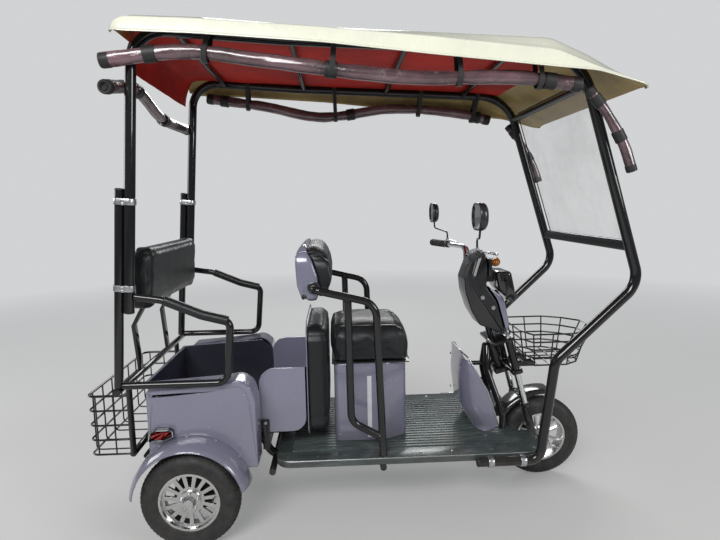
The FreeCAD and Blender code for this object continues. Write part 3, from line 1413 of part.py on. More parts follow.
def front_basket():
    """An open wire basket that turns with the steering."""
    pieces = []
    levels = 5
    for i in range(levels):
        share = i / (levels - 1)
        points = [((1 - share) * a[0] + share * b[0], (1 - share) * a[1] + share * b[1])
                  for a, b in zip(BASKET_RIM, BASKET_FLOOR)]
        height = "basket_top + (basket_low - basket_top) * %g" % share
        loop = points + [(x, -y) for x, y in reversed(points[1:-1])]
        middle = ((points[0][0] + points[-1][0]) / 2, 0)
        rod_size = value("basket_rod")
        bigger = []
        smaller = []
        for x, y in loop:
            out = Vector(x - middle[0], y - middle[1], 0).normalize()
            bigger.append(("%g" % (x + out.x * rod_size), "%g" % (y + out.y * rod_size)))
            smaller.append(("%g" % (x - out.x * rod_size), "%g" % (y - out.y * rod_size)))
        ring = new_body("BasketRing")
        drawing = sketch(ring, "XY", height + " - basket_rod")
        outline(drawing, bigger)
        outline(drawing, smaller)
        pad(ring, drawing, "2 * basket_rod")
        pieces.append(ring)
    for a, b in list(zip(BASKET_RIM, BASKET_FLOOR)) + [((1465, -172), (1470, -140))]:
        for way in (-1, 1):
            if a[1] == 0 and way > 0:
                continue
            pieces.append(rod((str(a[0]), str(way * a[1]), "basket_top"),
                              (str(b[0]), str(way * b[1]), "basket_low"), "basket_rod - 0.5"))
    for place in (1420, 1470, 1520, 1570):
        half = "%d" % (138 if place < 1545 else 118)
        pieces.append(rod((str(place), "-" + half, "basket_low"), (str(place), half, "basket_low"),
                          "basket_rod - 0.5"))
    for side in ("-52", "0", "52"):
        pieces.append(rod(("1372", side, "basket_low"), ("1618", side, "basket_low"), "basket_rod - 0.5"))
    keep(fuse(pieces), "front_basket")


# Rolled curtains: distance from the rear axle and height along each roll
NEAR_ROLL = ((-200, 1745), (76, 1772), (354, 1739), (791, 1687), (1171, 1683), (1418, 1658))
FAR_ROLL = ((-60, 1794), (234, 1749), (506, 1698), (850, 1735), (1153, 1716), (1359, 1675))
FRONT_ROLL = ((1452, 1646), (1527, 1551), (1587, 1449), (1621, 1360))
# The rear roll hangs across: distance to the left and height
REAR_ROLL = ((-484, 1652), (-202, 1698), (72, 1640), (456, 1644))


def rolled_curtains():
    """Rain curtains rolled up under the roof's edges and beside the front pillars."""
    rolls = [
        tube([(str(x), "-roll_side", str(z)) for x, z in NEAR_ROLL], ["400"] * 4, "roll_radius"),
        tube([(str(x), "roll_side", str(z)) for x, z in FAR_ROLL], ["400"] * 4, "roll_radius"),
        tube([("-173.8", str(y), str(z)) for y, z in REAR_ROLL], ["300"] * 2, "rear_roll_radius")]
    aside = "hoop_side + hoop_radius + front_roll_radius + running_gap"
    for side in ("-1", "1"):
        rolls.append(tube([(str(x), "%s * (%s)" % (side, aside), str(z)) for x, z in FRONT_ROLL], ["300"] * 2,
                          "front_roll_radius"))
    keep(group(rolls), "rolled_curtains")


def height_on(points, place):
    """The height and the slope of a straight-sided path at a distance."""
    for (x0, z0), (x1, z1) in zip(points, points[1:]):
        if x0 <= place <= x1:
            slope = (z1 - z0) / (x1 - x0)
            return z0 + slope * (place - x0), slope
    raise ValueError("no such place on the path: %s" % place)


def curtain_straps():
    """Bands that hang each roll from its rail, post or pillar."""
    pieces = []
    wide = value("strap_wide")
    thick = value("strap_thick")
    slack = value("strap_slack")
    rail_radius = value("hoop_radius") + slack
    mid = spot("hoop_mid_x", "0", "hoop_mid_z")
    ends = {True: spot("hoop_rear_x", "0", "hoop_rear_z"), False: spot("hoop_front_x", "0", "hoop_front_z")}
    for side, path in ((-1, NEAR_ROLL), (1, FAR_ROLL)):
        for place in (150, 570, 998, 1280):
            end = ends[place < mid.x]
            fall = (end.z - mid.z) / (end.x - mid.x)
            rail = Vector(place, side * value("hoop_side"), mid.z + fall * (place - mid.x))
            height, slope = height_on(path, place)
            axis = (Vector(1, 0, fall).normalize() + Vector(1, 0, slope).normalize()).normalize()
            level = place + (rail.z - height) * axis.z / (axis.x + slope * axis.z)
            roll = Vector(level, side * value("roll_side"), height + slope * (level - place))
            pieces.append(belt(rail, roll, rail_radius, value("roll_radius") + slack, wide, thick, axis))
    keep(group(pieces), "curtain_straps")


def build():
    """Build every sub-part."""
    for make in (
            wheels, chassis_frame, floor_deck, drive_axle, leaf_springs, rear_tub, side_panels, rear_fenders,
            tail_lamps, rear_rack, roof_hoops, lower_posts, tube_clamps, armrests, roof_crossbars, roof_panel,
            windscreen, backrest_frame, rear_backrest, driver_guards, driver_backrest, seat_box, battery_pack,
            seat_lid, driver_cushion, bench_shell, bench_cushion, leg_shield, fork, front_fender, handlebar,
            hand_controls, mirrors, steering_cowl, cowl_trim, front_lamps, front_basket, rolled_curtains,
            curtain_straps):
        make()
    doc.recompute()


def centre_origin():
    """Move the origin to the middle of the footprint; heights already start at the ground."""
    ends = []
    for node in nodes:
        room = node.Shape.optimalBoundingBox(False, False)
        ends += [room.XMin, room.XMax]
    place = doc.addObject("Spreadsheet::Sheet", "Place")
    place.set("A1", "origin_shift")
    place.set("B1", "%.3f" % ((min(ends) + max(ends)) / 2))
    place.setAlias("B1", "origin_shift")
    place.recompute()
    for node in nodes:
        expression = dict(node.ExpressionEngine).get("Placement.Base.x") or dict(node.ExpressionEngine).get(
            ".Placement.Base.x")
        start = "%s - " % expression if expression else "%g - " % node.Placement.Base.x
        node.setExpression("Placement.Base.x", start + "Place.origin_shift")
    doc.recompute()


def check_and_write():
    """Stop on a broken object, then write each sub-part to its own file."""
    for item in doc.Objects:
        if "Invalid" in item.State or "Error" in item.State:
            raise ValueError("broken object: %s" % item.Label)
    for node in nodes:
        if node.Shape.isNull() or not node.Shape.isValid():
            raise ValueError("broken shape: %s" % node.Label)
    os.makedirs("parts", exist_ok=True)
    for node in nodes:
        node.Shape.exportStep("parts/%s.step" % node.Label)


build()
centre_origin()
check_and_write()
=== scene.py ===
import math

import bmesh
import bpy
import numpy as np
from mathutils import Matrix, Vector, noise


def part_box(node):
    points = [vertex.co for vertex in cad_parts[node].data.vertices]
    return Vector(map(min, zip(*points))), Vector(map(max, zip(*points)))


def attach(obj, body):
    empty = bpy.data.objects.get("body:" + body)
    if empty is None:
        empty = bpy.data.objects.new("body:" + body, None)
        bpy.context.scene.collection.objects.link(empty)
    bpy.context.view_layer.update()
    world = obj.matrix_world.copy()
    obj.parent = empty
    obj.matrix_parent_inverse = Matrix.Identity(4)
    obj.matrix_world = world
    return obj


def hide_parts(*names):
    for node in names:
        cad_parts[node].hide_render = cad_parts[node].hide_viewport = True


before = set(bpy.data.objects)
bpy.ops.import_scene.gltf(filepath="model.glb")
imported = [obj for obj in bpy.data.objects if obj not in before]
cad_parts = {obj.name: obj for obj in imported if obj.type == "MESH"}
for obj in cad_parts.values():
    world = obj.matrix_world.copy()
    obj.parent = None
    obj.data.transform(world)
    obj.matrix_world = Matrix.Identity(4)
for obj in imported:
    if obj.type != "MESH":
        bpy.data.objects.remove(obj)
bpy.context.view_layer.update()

bl_info = {
    "name": "Passenger tricycle looks",
    "version": (1, 0, 0),
    "blender": (4, 5, 0),
    "location": "3D View > Sidebar > Tricycle",
    "description": "Builds the finished surfaces of a roofed passenger tricycle around its packed frame",
    "category": "Object",
}

TYRE_LOW, TYRE_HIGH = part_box("front_tyre")
SIDES = (("right", -1), ("left", 1))

# Millimetres: the front axle's distance from the rear one, both axles' height, and how far out the pieces lie
FRONT_AXLE = 1481
AXLE_HEIGHT = 185
REAR_WHEEL_OUT = 416
HOOP_OUT = 386
RAIL_OUT = 349.3
GUARD_OUT = 312
BAR_HALF = 366.7
LOCKER_HALF = 188
REST_HALF = 268
BENCH_HALF = 243
SHIELD_HALF = 145
COWL_HALF = 66
# the fork's legs in its raked frame: their distance ahead of the steering axis and from the middle
LEG_AHEAD = 55
LEG_OUT = 80
# metres from the CAD's origin to the rear axle, from which the tables here count ahead
SHIFT = FRONT_AXLE / 1000 - (TYRE_LOW.x + TYRE_HIGH.x) / 2


class TricycleSizes(bpy.types.PropertyGroup):
    """Sizes that a user would change"""

    tube_sides: bpy.props.IntProperty(name="Tube sides", description="Facets round each bent tube",
                                      default=28, min=8)
    bend_steps: bpy.props.IntProperty(name="Bend steps", description="Divisions of each tube bend",
                                      default=12, min=3)
    tyre_width: bpy.props.FloatProperty(
        name="Tyre width", description="Width of each tyre", default=0.080, unit="LENGTH")
    wheel_radius: bpy.props.FloatProperty(
        name="Wheel radius", description="Radius of each wheel over its tyre", default=0.185, unit="LENGTH")
    tread_blocks: bpy.props.IntProperty(
        name="Tread blocks", description="Shoulder blocks round each tyre", default=64, min=12)
    cushion_cell: bpy.props.FloatProperty(
        name="Cushion cell", description="Cell of the cushions' remesh", default=0.0065, unit="LENGTH")


class TricycleColours(bpy.types.PropertyGroup):
    """Colours that a user would change"""

    lilac: bpy.props.FloatVectorProperty(
        name="Panels", description="Moulded body panels", subtype="COLOR", default=(0.185, 0.185, 0.255))
    cream: bpy.props.FloatVectorProperty(
        name="Roof", description="Moulded roof", subtype="COLOR", default=(0.80, 0.80, 0.66))
    enamel: bpy.props.FloatVectorProperty(
        name="Tubes", description="Enamelled tubes", subtype="COLOR", default=(0.010, 0.010, 0.011))
    deck: bpy.props.FloatVectorProperty(
        name="Floor", description="Ribbed floor", subtype="COLOR", default=(0.060, 0.078, 0.076))
    seat: bpy.props.FloatVectorProperty(
        name="Seats", description="Seat covers", subtype="COLOR", default=(0.010, 0.012, 0.013))
    curtain: bpy.props.FloatVectorProperty(
        name="Curtains", description="Rolled rain curtains", subtype="COLOR", default=(0.125, 0.070, 0.082))
    lining: bpy.props.FloatVectorProperty(
        name="Lining", description="Lining under the roof", subtype="COLOR", default=(0.46, 0.014, 0.006))


# Places
def at(x, y, z):
    """A point given in millimetres from the rear axle's middle, on the ground."""
    return Vector((x / 1000 - SHIFT, y / 1000, z / 1000))


def sizes():
    return bpy.context.scene.tricycle_sizes


def colours():
    return bpy.context.scene.tricycle_colours


# Nodes
def put(tree, kind, settings=None, **inputs):
    """Add a node with its properties and its inputs' values or links; an underscore stands for a space."""
    node = tree.nodes.new(kind)
    for name, setting in (settings or {}).items():
        setattr(node, name, setting)
    for name, given in inputs.items():
        key = int(name[1:]) if name[0] == "i" and name[1:].isdigit() else name.replace("_", " ")
        socket = node.inputs[key]
        if isinstance(given, bpy.types.NodeSocket):
            tree.links.new(given, socket)
        else:
            socket.default_value = given
    return node


MADE = {}


def begin_material(name, colour, roughness, metallic=0.0, **fixed):
    """A material whose even values stand on the shader's own sockets."""
    material = bpy.data.materials.new(name)
    material.use_nodes = True
    tree = material.node_tree
    shader = tree.nodes["Principled BSDF"]
    shader.inputs["Base Color"].default_value = (*colour, 1)
    shader.inputs["Roughness"].default_value = roughness
    shader.inputs["Metallic"].default_value = metallic
    for key, number in fixed.items():
        shader.inputs[key.replace("_", " ")].default_value = number
    MADE[name] = material
    return tree, shader


def speckle(tree, scale, detail=3.0, rough=0.6, stretch=None):
    """Noise on object coordinates, stretched along an axis if asked."""
    spot = put(tree, "ShaderNodeTexCoord").outputs["Object"]
    if stretch:
        spot = put(tree, "ShaderNodeMapping", Vector=spot, Scale=stretch).outputs[0]
    return put(tree, "ShaderNodeTexNoise", Vector=spot, Scale=scale, Detail=detail,
               Roughness=rough).outputs["Fac"]


def spread(tree, factor, low, high, out_low, out_high):
    return put(tree, "ShaderNodeMapRange", Value=factor, From_Min=low, From_Max=high, To_Min=out_low,
               To_Max=out_high).outputs["Result"]


def mix(tree, factor, first, second):
    """Blend two colours, each a socket or a triple."""
    def colour(given):
        return given if isinstance(given, bpy.types.NodeSocket) else (*given, 1)

    return put(tree, "ShaderNodeMix", {"data_type": "RGBA"}, i0=factor, i6=colour(first),
               i7=colour(second)).outputs[2]


def shade(colour, amount):
    return tuple(min(1.0, part * amount) for part in colour)


def bump(tree, shader, height, strength, distance, after=None):
    """Raise the surface by a height; a second call stands on the first."""
    settings = {"Height": height, "Strength": strength, "Distance": distance}
    if after is not None:
        settings["Normal"] = after
    normal = put(tree, "ShaderNodeBump", **settings).outputs[0]
    tree.links.new(normal, shader.inputs["Normal"])
    return normal


def grime(tree, top, bottom):
    """How much road dust lies at a height: none above top, most at the bottom."""
    spot = put(tree, "ShaderNodeTexCoord").outputs["Object"]
    height = put(tree, "ShaderNodeSeparateXYZ", Vector=spot).outputs["Z"]
    low = spread(tree, height, bottom, top, 1.0, 0.0)
    patch = speckle(tree, 14, 5)
    return put(tree, "ShaderNodeMath", {"operation": "MULTIPLY"}, i0=low,
               i1=spread(tree, patch, 0.35, 0.7, 0.15, 1.0)).outputs[0]


DUST = (0.16, 0.14, 0.115)


def enamel_material():
    colour = tuple(colours().enamel)
    tree, shader = begin_material("black_enamel", colour, 0.08, Coat_Weight=0.45,
                                            Coat_Roughness=0.03, Specular_IOR_Level=0.3)
    dust = spread(tree, speckle(tree, 38, 6, 0.7), 0.56, 0.80, 0.0, 0.16)
    dirty = mix(tree, grime(tree, 0.4, 0.05), mix(tree, dust, colour, (0.04, 0.038, 0.035)),
                shade(DUST, 0.35))
    tree.links.new(dirty, shader.inputs["Base Color"])
    tree.links.new(spread(tree, speckle(tree, 26, 4), 0.3, 0.7, 0.06, 0.17), shader.inputs["Roughness"])
    bump(tree, shader, speckle(tree, 240, 2), 0.08, 0.0004)


def plastic_material(name, colour, roughness=(0.14, 0.30), coat=0.8, dirty_top=0.5, dirt=0.55):
    """A glossy moulding: clouded colour, faint flow marks, hair scratches and dust near the ground."""
    tree, shader = begin_material(name, colour, roughness[0], Coat_Weight=coat, Coat_Roughness=0.07)
    cloud = mix(tree, speckle(tree, 5, 3), shade(colour, 0.88), shade(colour, 1.12))
    scratch = spread(tree, speckle(tree, 60, 5, 0.75, (1, 1, 9)), 0.64, 0.74, 0.0, 0.35)
    marked = mix(tree, scratch, cloud, shade(colour, 1.45))
    amount = put(tree, "ShaderNodeMath", {"operation": "MULTIPLY"}, i0=grime(tree, dirty_top, 0.08),
                 i1=dirt).outputs[0]
    tree.links.new(mix(tree, amount, marked, DUST), shader.inputs["Base Color"])
    tree.links.new(spread(tree, speckle(tree, 18, 5), 0.3, 0.72, *roughness), shader.inputs["Roughness"])
    bump(tree, shader, speckle(tree, 90, 3), 0.12, 0.0007)


def grained_material(name, colour, scale, roughness=(0.42, 0.60), depth=0.0006):
    """Moulded plastic or rubber with a pebbled skin."""
    tree, shader = begin_material(name, colour, roughness[0], Specular_IOR_Level=0.45)
    spot = put(tree, "ShaderNodeTexCoord").outputs["Object"]
    pebble = put(tree, "ShaderNodeTexVoronoi", {"feature": "SMOOTH_F1"}, Vector=spot,
                 Scale=scale).outputs["Distance"]
    dust = spread(tree, speckle(tree, 22, 6, 0.7), 0.5, 0.8, 0.0, 0.4)
    tree.links.new(mix(tree, dust, colour, shade(colour, 2.2)), shader.inputs["Base Color"])
    tree.links.new(spread(tree, speckle(tree, 9, 4), 0.3, 0.7, *roughness), shader.inputs["Roughness"])
    bump(tree, shader, pebble, 0.35, depth)


def leather_material():
    """Seat vinyl: fine cracked grain, soft creases and wear that lightens it."""
    colour = tuple(colours().seat)
    tree, shader = begin_material(
        "seat_vinyl", colour, 0.36, Sheen_Weight=0.04, Sheen_Roughness=0.4, Specular_IOR_Level=0.4)
    spot = put(tree, "ShaderNodeTexCoord").outputs["Object"]
    grain = put(tree, "ShaderNodeTexVoronoi", {"feature": "DISTANCE_TO_EDGE"}, Vector=spot,
                Scale=420).outputs["Distance"]
    worn = spread(tree, speckle(tree, 7, 5, 0.65), 0.42, 0.75, 0.0, 0.7)
    tree.links.new(mix(tree, worn, colour, shade(colour, 1.9)), shader.inputs["Base Color"])
    tree.links.new(spread(tree, speckle(tree, 12, 4), 0.3, 0.7, 0.26, 0.42), shader.inputs["Roughness"])
    first = bump(tree, shader, speckle(tree, 16, 4, 0.55), 0.12, 0.004)
    bump(tree, shader, spread(tree, grain, 0.0, 0.12, 0.0, 1.0), 0.22, 0.0005, first)


def metal_material(name, colour, roughness, tarnish=0.25, coat=0.0):
    """Bare or painted metal with smears and fine scratches."""
    tree, shader = begin_material(name, colour, roughness[0], 1.0, Coat_Weight=coat)
    patch = spread(tree, speckle(tree, 16, 6, 0.7), 0.42, 0.72, 0.0, tarnish)
    tree.links.new(mix(tree, patch, colour, shade(colour, 0.35)), shader.inputs["Base Color"])
    streak = speckle(tree, 130, 4, 0.6)
    tree.links.new(spread(tree, streak, 0.3, 0.7, *roughness), shader.inputs["Roughness"])
    bump(tree, shader, streak, 0.06, 0.0003)


def deck_material():
    """Dark ribbed sheet: grey green, scuffed along its length, brighter where feet rub."""
    colour = tuple(colours().deck)
    tree, shader = begin_material("ribbed_sheet", colour, 0.3, 0.35, Coat_Weight=0.25, Coat_Roughness=0.2)
    scuff = spread(tree, speckle(tree, 24, 6, 0.7, (0.25, 1, 1)), 0.48, 0.72, 0.0, 0.75)
    mud = spread(tree, speckle(tree, 4.5, 6, 0.65), 0.48, 0.66, 0.0, 0.6)
    base = mix(tree, scuff, colour, shade(colour, 2.3))
    tree.links.new(mix(tree, mud, base, (0.11, 0.10, 0.085)), shader.inputs["Base Color"])
    tree.links.new(spread(tree, speckle(tree, 20, 5, 0.6, (0.3, 1, 1)), 0.3, 0.7, 0.20, 0.46),
                   shader.inputs["Roughness"])
    bump(tree, shader, speckle(tree, 90, 4, 0.6, (0.2, 1, 1)), 0.25, 0.0008)


def rubber_material():
    """Tyre rubber with browner dust in random patches."""
    colour = (0.016, 0.016, 0.017)
    tree, shader = begin_material("tyre_rubber", colour, 0.6, Specular_IOR_Level=0.4)
    dust = spread(tree, speckle(tree, 30, 6, 0.7), 0.4, 0.7, 0.1, 0.75)
    tree.links.new(mix(tree, dust, colour, (0.052, 0.048, 0.043)), shader.inputs["Base Color"])
    tree.links.new(spread(tree, speckle(tree, 40, 4), 0.3, 0.7, 0.45, 0.75), shader.inputs["Roughness"])
    bump(tree, shader, speckle(tree, 320, 3), 0.25, 0.0007)


def curtain_material():
    """Rolled soft sheet: smoky brown purple, shiny, with lighter folds where the layers part."""
    colour = tuple(colours().curtain)
    tree, shader = begin_material(
        "curtain_sheet", colour, 0.16, Coat_Weight=0.9, Coat_Roughness=0.06, Specular_IOR_Level=0.6,
        Subsurface_Weight=0.12, Subsurface_Radius=(0.02, 0.01, 0.01))
    layer = spread(tree, speckle(tree, 9, 6, 0.65, (0.5, 1.4, 1.4)), 0.35, 0.68, 0.0, 1.0)
    haze = spread(tree, speckle(tree, 30, 5, 0.7), 0.56, 0.74, 0.0, 0.55)
    base = mix(tree, layer, shade(colour, 0.42), shade(colour, 1.5))
    tree.links.new(mix(tree, haze, base, (0.34, 0.27, 0.27)), shader.inputs["Base Color"])
    tree.links.new(spread(tree, speckle(tree, 20, 4), 0.3, 0.7, 0.10, 0.28), shader.inputs["Roughness"])
    bump(tree, shader, speckle(tree, 34, 6, 0.6, (0.5, 1.2, 1.2)), 0.5, 0.005)


def webbing_material():
    """Woven tape on the strap's own map: two crossing sets of ribs."""
    tree, shader = begin_material("woven_tape", (0.012, 0.012, 0.013), 0.7, Sheen_Weight=0.3)
    flat = put(tree, "ShaderNodeTexCoord").outputs["UV"]
    warp = put(tree, "ShaderNodeTexWave", {"bands_direction": "X"}, Vector=flat, Scale=60).outputs["Fac"]
    weft = put(tree, "ShaderNodeTexWave", {"bands_direction": "Y"}, Vector=flat, Scale=90).outputs["Fac"]
    weave = put(tree, "ShaderNodeMath", {"operation": "MULTIPLY"}, i0=warp, i1=weft).outputs[0]
    tree.links.new(mix(tree, weave, (0.008, 0.008, 0.009), (0.028, 0.027, 0.028)),
                   shader.inputs["Base Color"])
    bump(tree, shader, weave, 0.5, 0.0006)


def lining_material():
    """Thin red cloth over the roof's ribs, brighter where light comes through."""
    colour = tuple(colours().lining)
    tree, shader = begin_material("roof_lining", colour, 0.6, Specular_IOR_Level=0.25)
    soft = spread(tree, speckle(tree, 3.2, 4, 0.6), 0.35, 0.7, 0.0, 1.0)
    tree.links.new(mix(tree, soft, shade(colour, 0.65), shade(colour, 1.25)), shader.inputs["Base Color"])
    bump(tree, shader, speckle(tree, 12, 5, 0.6, (0.4, 1.5, 1)), 0.3, 0.01)


def ochre_material():
    """The moulding's underside: a darker tan that paints the shade under the roof, with streaks."""
    colour = (0.42, 0.30, 0.105)
    tree, shader = begin_material("raw_underside", colour, 0.45)
    streak = spread(tree, speckle(tree, 7, 6, 0.7), 0.35, 0.7, 0.0, 1.0)
    tree.links.new(mix(tree, streak, shade(colour, 0.7), shade(colour, 1.2)), shader.inputs["Base Color"])
    bump(tree, shader, speckle(tree, 130, 5, 0.7), 0.4, 0.001)


def clear_material(name, colour, roughness, weight=1.0):
    """See-through sheet or lens with faint smears."""
    tree, shader = begin_material(
        name, colour, roughness, Transmission_Weight=weight, IOR=1.45, Coat_Weight=0.3)
    tree.links.new(spread(tree, speckle(tree, 5, 6, 0.7), 0.45, 0.75, roughness, roughness + 0.10),
                   shader.inputs["Roughness"])


def screen_material():
    """Thin clear sheet: it shows what lies behind with a soft shine, dusty in patches."""
    tree, shader = begin_material("screen_sheet", (0.85, 0.88, 0.87), 0.06, Coat_Weight=0.6, Alpha=0.2)
    tree.links.new(spread(tree, speckle(tree, 6, 6, 0.7), 0.40, 0.80, 0.08, 0.26), shader.inputs["Alpha"])


def make_materials():
    enamel_material()
    plastic_material("lilac_panel", tuple(colours().lilac), coat=1.0)
    plastic_material("cream_roof", tuple(colours().cream), (0.18, 0.34), 0.6, 0.2, 0.1)
    plastic_material("black_moulding", (0.014, 0.014, 0.016), (0.22, 0.40), 0.35)
    plastic_material("dark_housing", (0.010, 0.010, 0.011), (0.10, 0.22), 0.8)
    # the tub's inside: a darker navy that paints the shade inside the deep tub
    plastic_material("dark_inside", (0.018, 0.020, 0.034), (0.34, 0.5), 0.1)
    grained_material("black_shell", (0.018, 0.018, 0.019), 520)
    grained_material("grip_rubber", (0.016, 0.017, 0.018), 300, (0.55, 0.7), 0.0012)
    leather_material()
    plastic_material("pale_stripe", (0.62, 0.62, 0.66), (0.2, 0.35), 0.4, 0.3, 0.3)
    metal_material("chrome_plate", (0.78, 0.79, 0.80), (0.05, 0.16), tarnish=0.12)
    metal_material("silver_alloy", (0.62, 0.62, 0.61), (0.22, 0.36), tarnish=0.22, coat=0.4)
    metal_material("zinc_plate", (0.55, 0.56, 0.57), (0.25, 0.42), tarnish=0.35)
    metal_material("cast_iron", (0.045, 0.043, 0.041), (0.5, 0.7), tarnish=0.6)
    metal_material("mirror_glass", (0.75, 0.77, 0.78), (0.02, 0.04), tarnish=0.02)
    deck_material()
    rubber_material()
    curtain_material()
    webbing_material()
    lining_material()
    ochre_material()
    screen_material()
    clear_material("clear_lens", (0.93, 0.95, 0.95), 0.03)
    clear_material("smoked_lens", (0.10, 0.11, 0.12), 0.05, 0.5)
    clear_material("red_lens", (0.55, 0.015, 0.01), 0.08, 0.6)
    clear_material("amber_lens", (0.75, 0.24, 0.02), 0.08, 0.6)


# Pieces
def bare_piece(name, points, edges=(), faces=()):
    """A mesh object without a finish."""
    mesh = bpy.data.meshes.new(name)
    mesh.from_pydata([tuple(point) for point in points], edges, faces)
    piece = bpy.data.objects.new(name, mesh)
    bpy.context.scene.collection.objects.link(piece)
    return piece


def new_piece(name, points, faces, material):
    piece = bare_piece(name, points, faces=faces)
    piece.data.materials.append(MADE[material])
    return piece


def bake(piece):
    """Turn a piece and its modifiers into a plain mesh."""
    graph = bpy.context.evaluated_depsgraph_get()
    graph.update()
    mesh = bpy.data.meshes.new_from_object(piece.evaluated_get(graph), preserve_all_data_layers=True,
                                           depsgraph=graph)
    old = piece.data
    piece.modifiers.clear()
    piece.data = mesh
    if old.users == 0:
        bpy.data.meshes.remove(old)
    mesh.name = piece.name
    return piece


def add_modifier(piece, kind, **settings):
    modifier = piece.modifiers.new(kind.title(), kind)
    for name, setting in settings.items():
        setattr(modifier, name, setting)
    return modifier


def settle(piece, body, stands_for=(), sharp=38):
    """Smooth a piece, keep its real edges, and hang it on its body."""
    piece.data.shade_smooth()
    if sharp:
        piece.data.set_sharp_from_angle(angle=math.radians(sharp))
    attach(piece, body)
    if stands_for:
        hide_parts(*stands_for)
    return piece


def join(pieces, name):
    """Merge loose pieces into one, with all their materials."""
    bpy.ops.object.select_all(action="DESELECT")
    for piece in pieces:
        piece.select_set(True)
    bpy.context.view_layer.objects.active = pieces[0]
    bpy.ops.object.join()
    pieces[0].name = name
    pieces[0].data.name = name
    return pieces[0]


def welded_copy(node, name, material):
    """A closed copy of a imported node's loose triangles."""
    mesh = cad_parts[node].data.copy()
    piece = bpy.data.objects.new(name, mesh)
    bpy.context.scene.collection.objects.link(piece)
    work = bmesh.new()
    work.from_mesh(mesh)
    bmesh.ops.remove_doubles(work, verts=work.verts, dist=2e-5)
    bmesh.ops.dissolve_limit(work, angle_limit=math.radians(1.0), verts=work.verts, edges=work.edges)
    bmesh.ops.recalc_face_normals(work, faces=work.faces)
    work.to_mesh(mesh)
    work.free()
    mesh.materials.clear()
    mesh.materials.append(MADE[material])
    for face in mesh.polygons:
        face.material_index = 0
    return piece


def rounded_copy(node, name, material, width, segments=3, angle=28):
    """A welded copy with its edges rounded."""
    piece = welded_copy(node, name, material)
    add_modifier(piece, "BEVEL", width=width, segments=segments, limit_method="ANGLE",
                 angle_limit=math.radians(angle), harden_normals=False, use_clamp_overlap=True)
    return bake(piece)


# Geometry Nodes
TREES = {}


def group(name, sockets):
    """A geometry group with named inputs; returns the tree and its input node."""
    tree = bpy.data.node_groups.new(name, "GeometryNodeTree")
    for label, kind in sockets:
        tree.interface.new_socket(label, in_out="INPUT", socket_type="NodeSocket" + kind)
    tree.interface.new_socket("Result", in_out="OUTPUT", socket_type="NodeSocketGeometry")
    TREES[name] = tree
    return tree, tree.nodes.new("NodeGroupInput").outputs


def close_group(tree, shape, finish):
    """End a group in real geometry with its finish."""
    real = put(tree, "GeometryNodeRealizeInstances", Geometry=shape).outputs[0]
    done = put(tree, "GeometryNodeSetMaterial", Geometry=real, Material=finish).outputs[0]
    end = tree.nodes.new("NodeGroupOutput")
    tree.links.new(done, end.inputs[0])


def run_group(piece, name, **inputs):
    """Give a piece a group with its inputs set by their identifiers, then make it plain."""
    tree = TREES[name]
    modifier = piece.modifiers.new(name, "NODES")
    modifier.node_group = tree
    for item in tree.interface.items_tree:
        key = item.name.replace(" ", "_")
        if item.in_out == "INPUT" and key in inputs:
            modifier[item.identifier] = inputs[key]
    return bake(piece)


def tube_group():
    """Round bars that follow straight runs, each inner corner rounded by its own radius."""
    tree, given = group("bent_tube", (
        ("Path", "Geometry"), ("Radius", "Float"), ("Sides", "Int"), ("Bend Steps", "Int"),
                                      ("Finish", "Material")))
    curve = put(tree, "GeometryNodeMeshToCurve", Mesh=given["Path"]).outputs[0]
    bend = put(tree, "GeometryNodeInputNamedAttribute", {"data_type": "FLOAT"}, Name="bend").outputs[0]
    rounded = put(tree, "GeometryNodeFilletCurve", Curve=curve)
    if "Mode" in rounded.inputs:
        rounded.inputs["Mode"].default_value = "Poly"
    else:
        rounded.mode = "POLY"
    tree.links.new(bend, rounded.inputs["Radius"])
    tree.links.new(given["Bend Steps"], rounded.inputs["Count"])
    even = put(tree, "GeometryNodeSetCurveRadius", Curve=rounded.outputs[0], Radius=1.0).outputs[0]
    ring = put(tree, "GeometryNodeCurvePrimitiveCircle", Resolution=given["Sides"],
               Radius=given["Radius"]).outputs[0]
    solid = put(tree, "GeometryNodeCurveToMesh", Curve=even, Profile_Curve=ring, Fill_Caps=True).outputs[0]
    close_group(tree, solid, given["Finish"])


def ring_group():
    """Copies of a shape spaced evenly about a wheel's axle, which runs along Y."""
    tree, given = group("wheel_ring", (
        ("Base", "Geometry"), ("Shape", "Object"), ("Count", "Int"), ("Centre", "Vector"),
                                       ("Finish", "Material")))
    line = put(tree, "GeometryNodeMeshLine", Count=given["Count"], Offset=(0, 0, 0)).outputs[0]
    shape = put(tree, "GeometryNodeObjectInfo", Object=given["Shape"], As_Instance=True).outputs["Geometry"]
    index = put(tree, "GeometryNodeInputIndex").outputs[0]
    step = put(tree, "ShaderNodeMath", {"operation": "DIVIDE"}, i0=2 * math.pi, i1=given["Count"]).outputs[0]
    turn = put(tree, "ShaderNodeMath", {"operation": "MULTIPLY"}, i0=index, i1=step).outputs[0]
    angles = put(tree, "ShaderNodeCombineXYZ", Y=turn).outputs[0]
    copies = put(tree, "GeometryNodeInstanceOnPoints", Points=line, Instance=shape,
                 Rotation=angles).outputs[0]
    placed = put(tree, "GeometryNodeTransform", Geometry=copies, Translation=given["Centre"]).outputs[0]
    close_group(tree, placed, given["Finish"])


def scatter_group():
    """Copies of a shape on points, each turned by the point's own angles."""
    tree, given = group("fixings", (
        ("Points", "Geometry"), ("Shape", "Object"), ("Finish", "Material")))
    shape = put(tree, "GeometryNodeObjectInfo", Object=given["Shape"], As_Instance=True).outputs["Geometry"]
    angles = put(tree, "GeometryNodeInputNamedAttribute", {"data_type": "FLOAT_VECTOR"},
                 Name="angles").outputs[0]
    copies = put(tree, "GeometryNodeInstanceOnPoints", Points=given["Points"], Instance=shape,
                 Rotation=angles).outputs[0]
    close_group(tree, copies, given["Finish"])


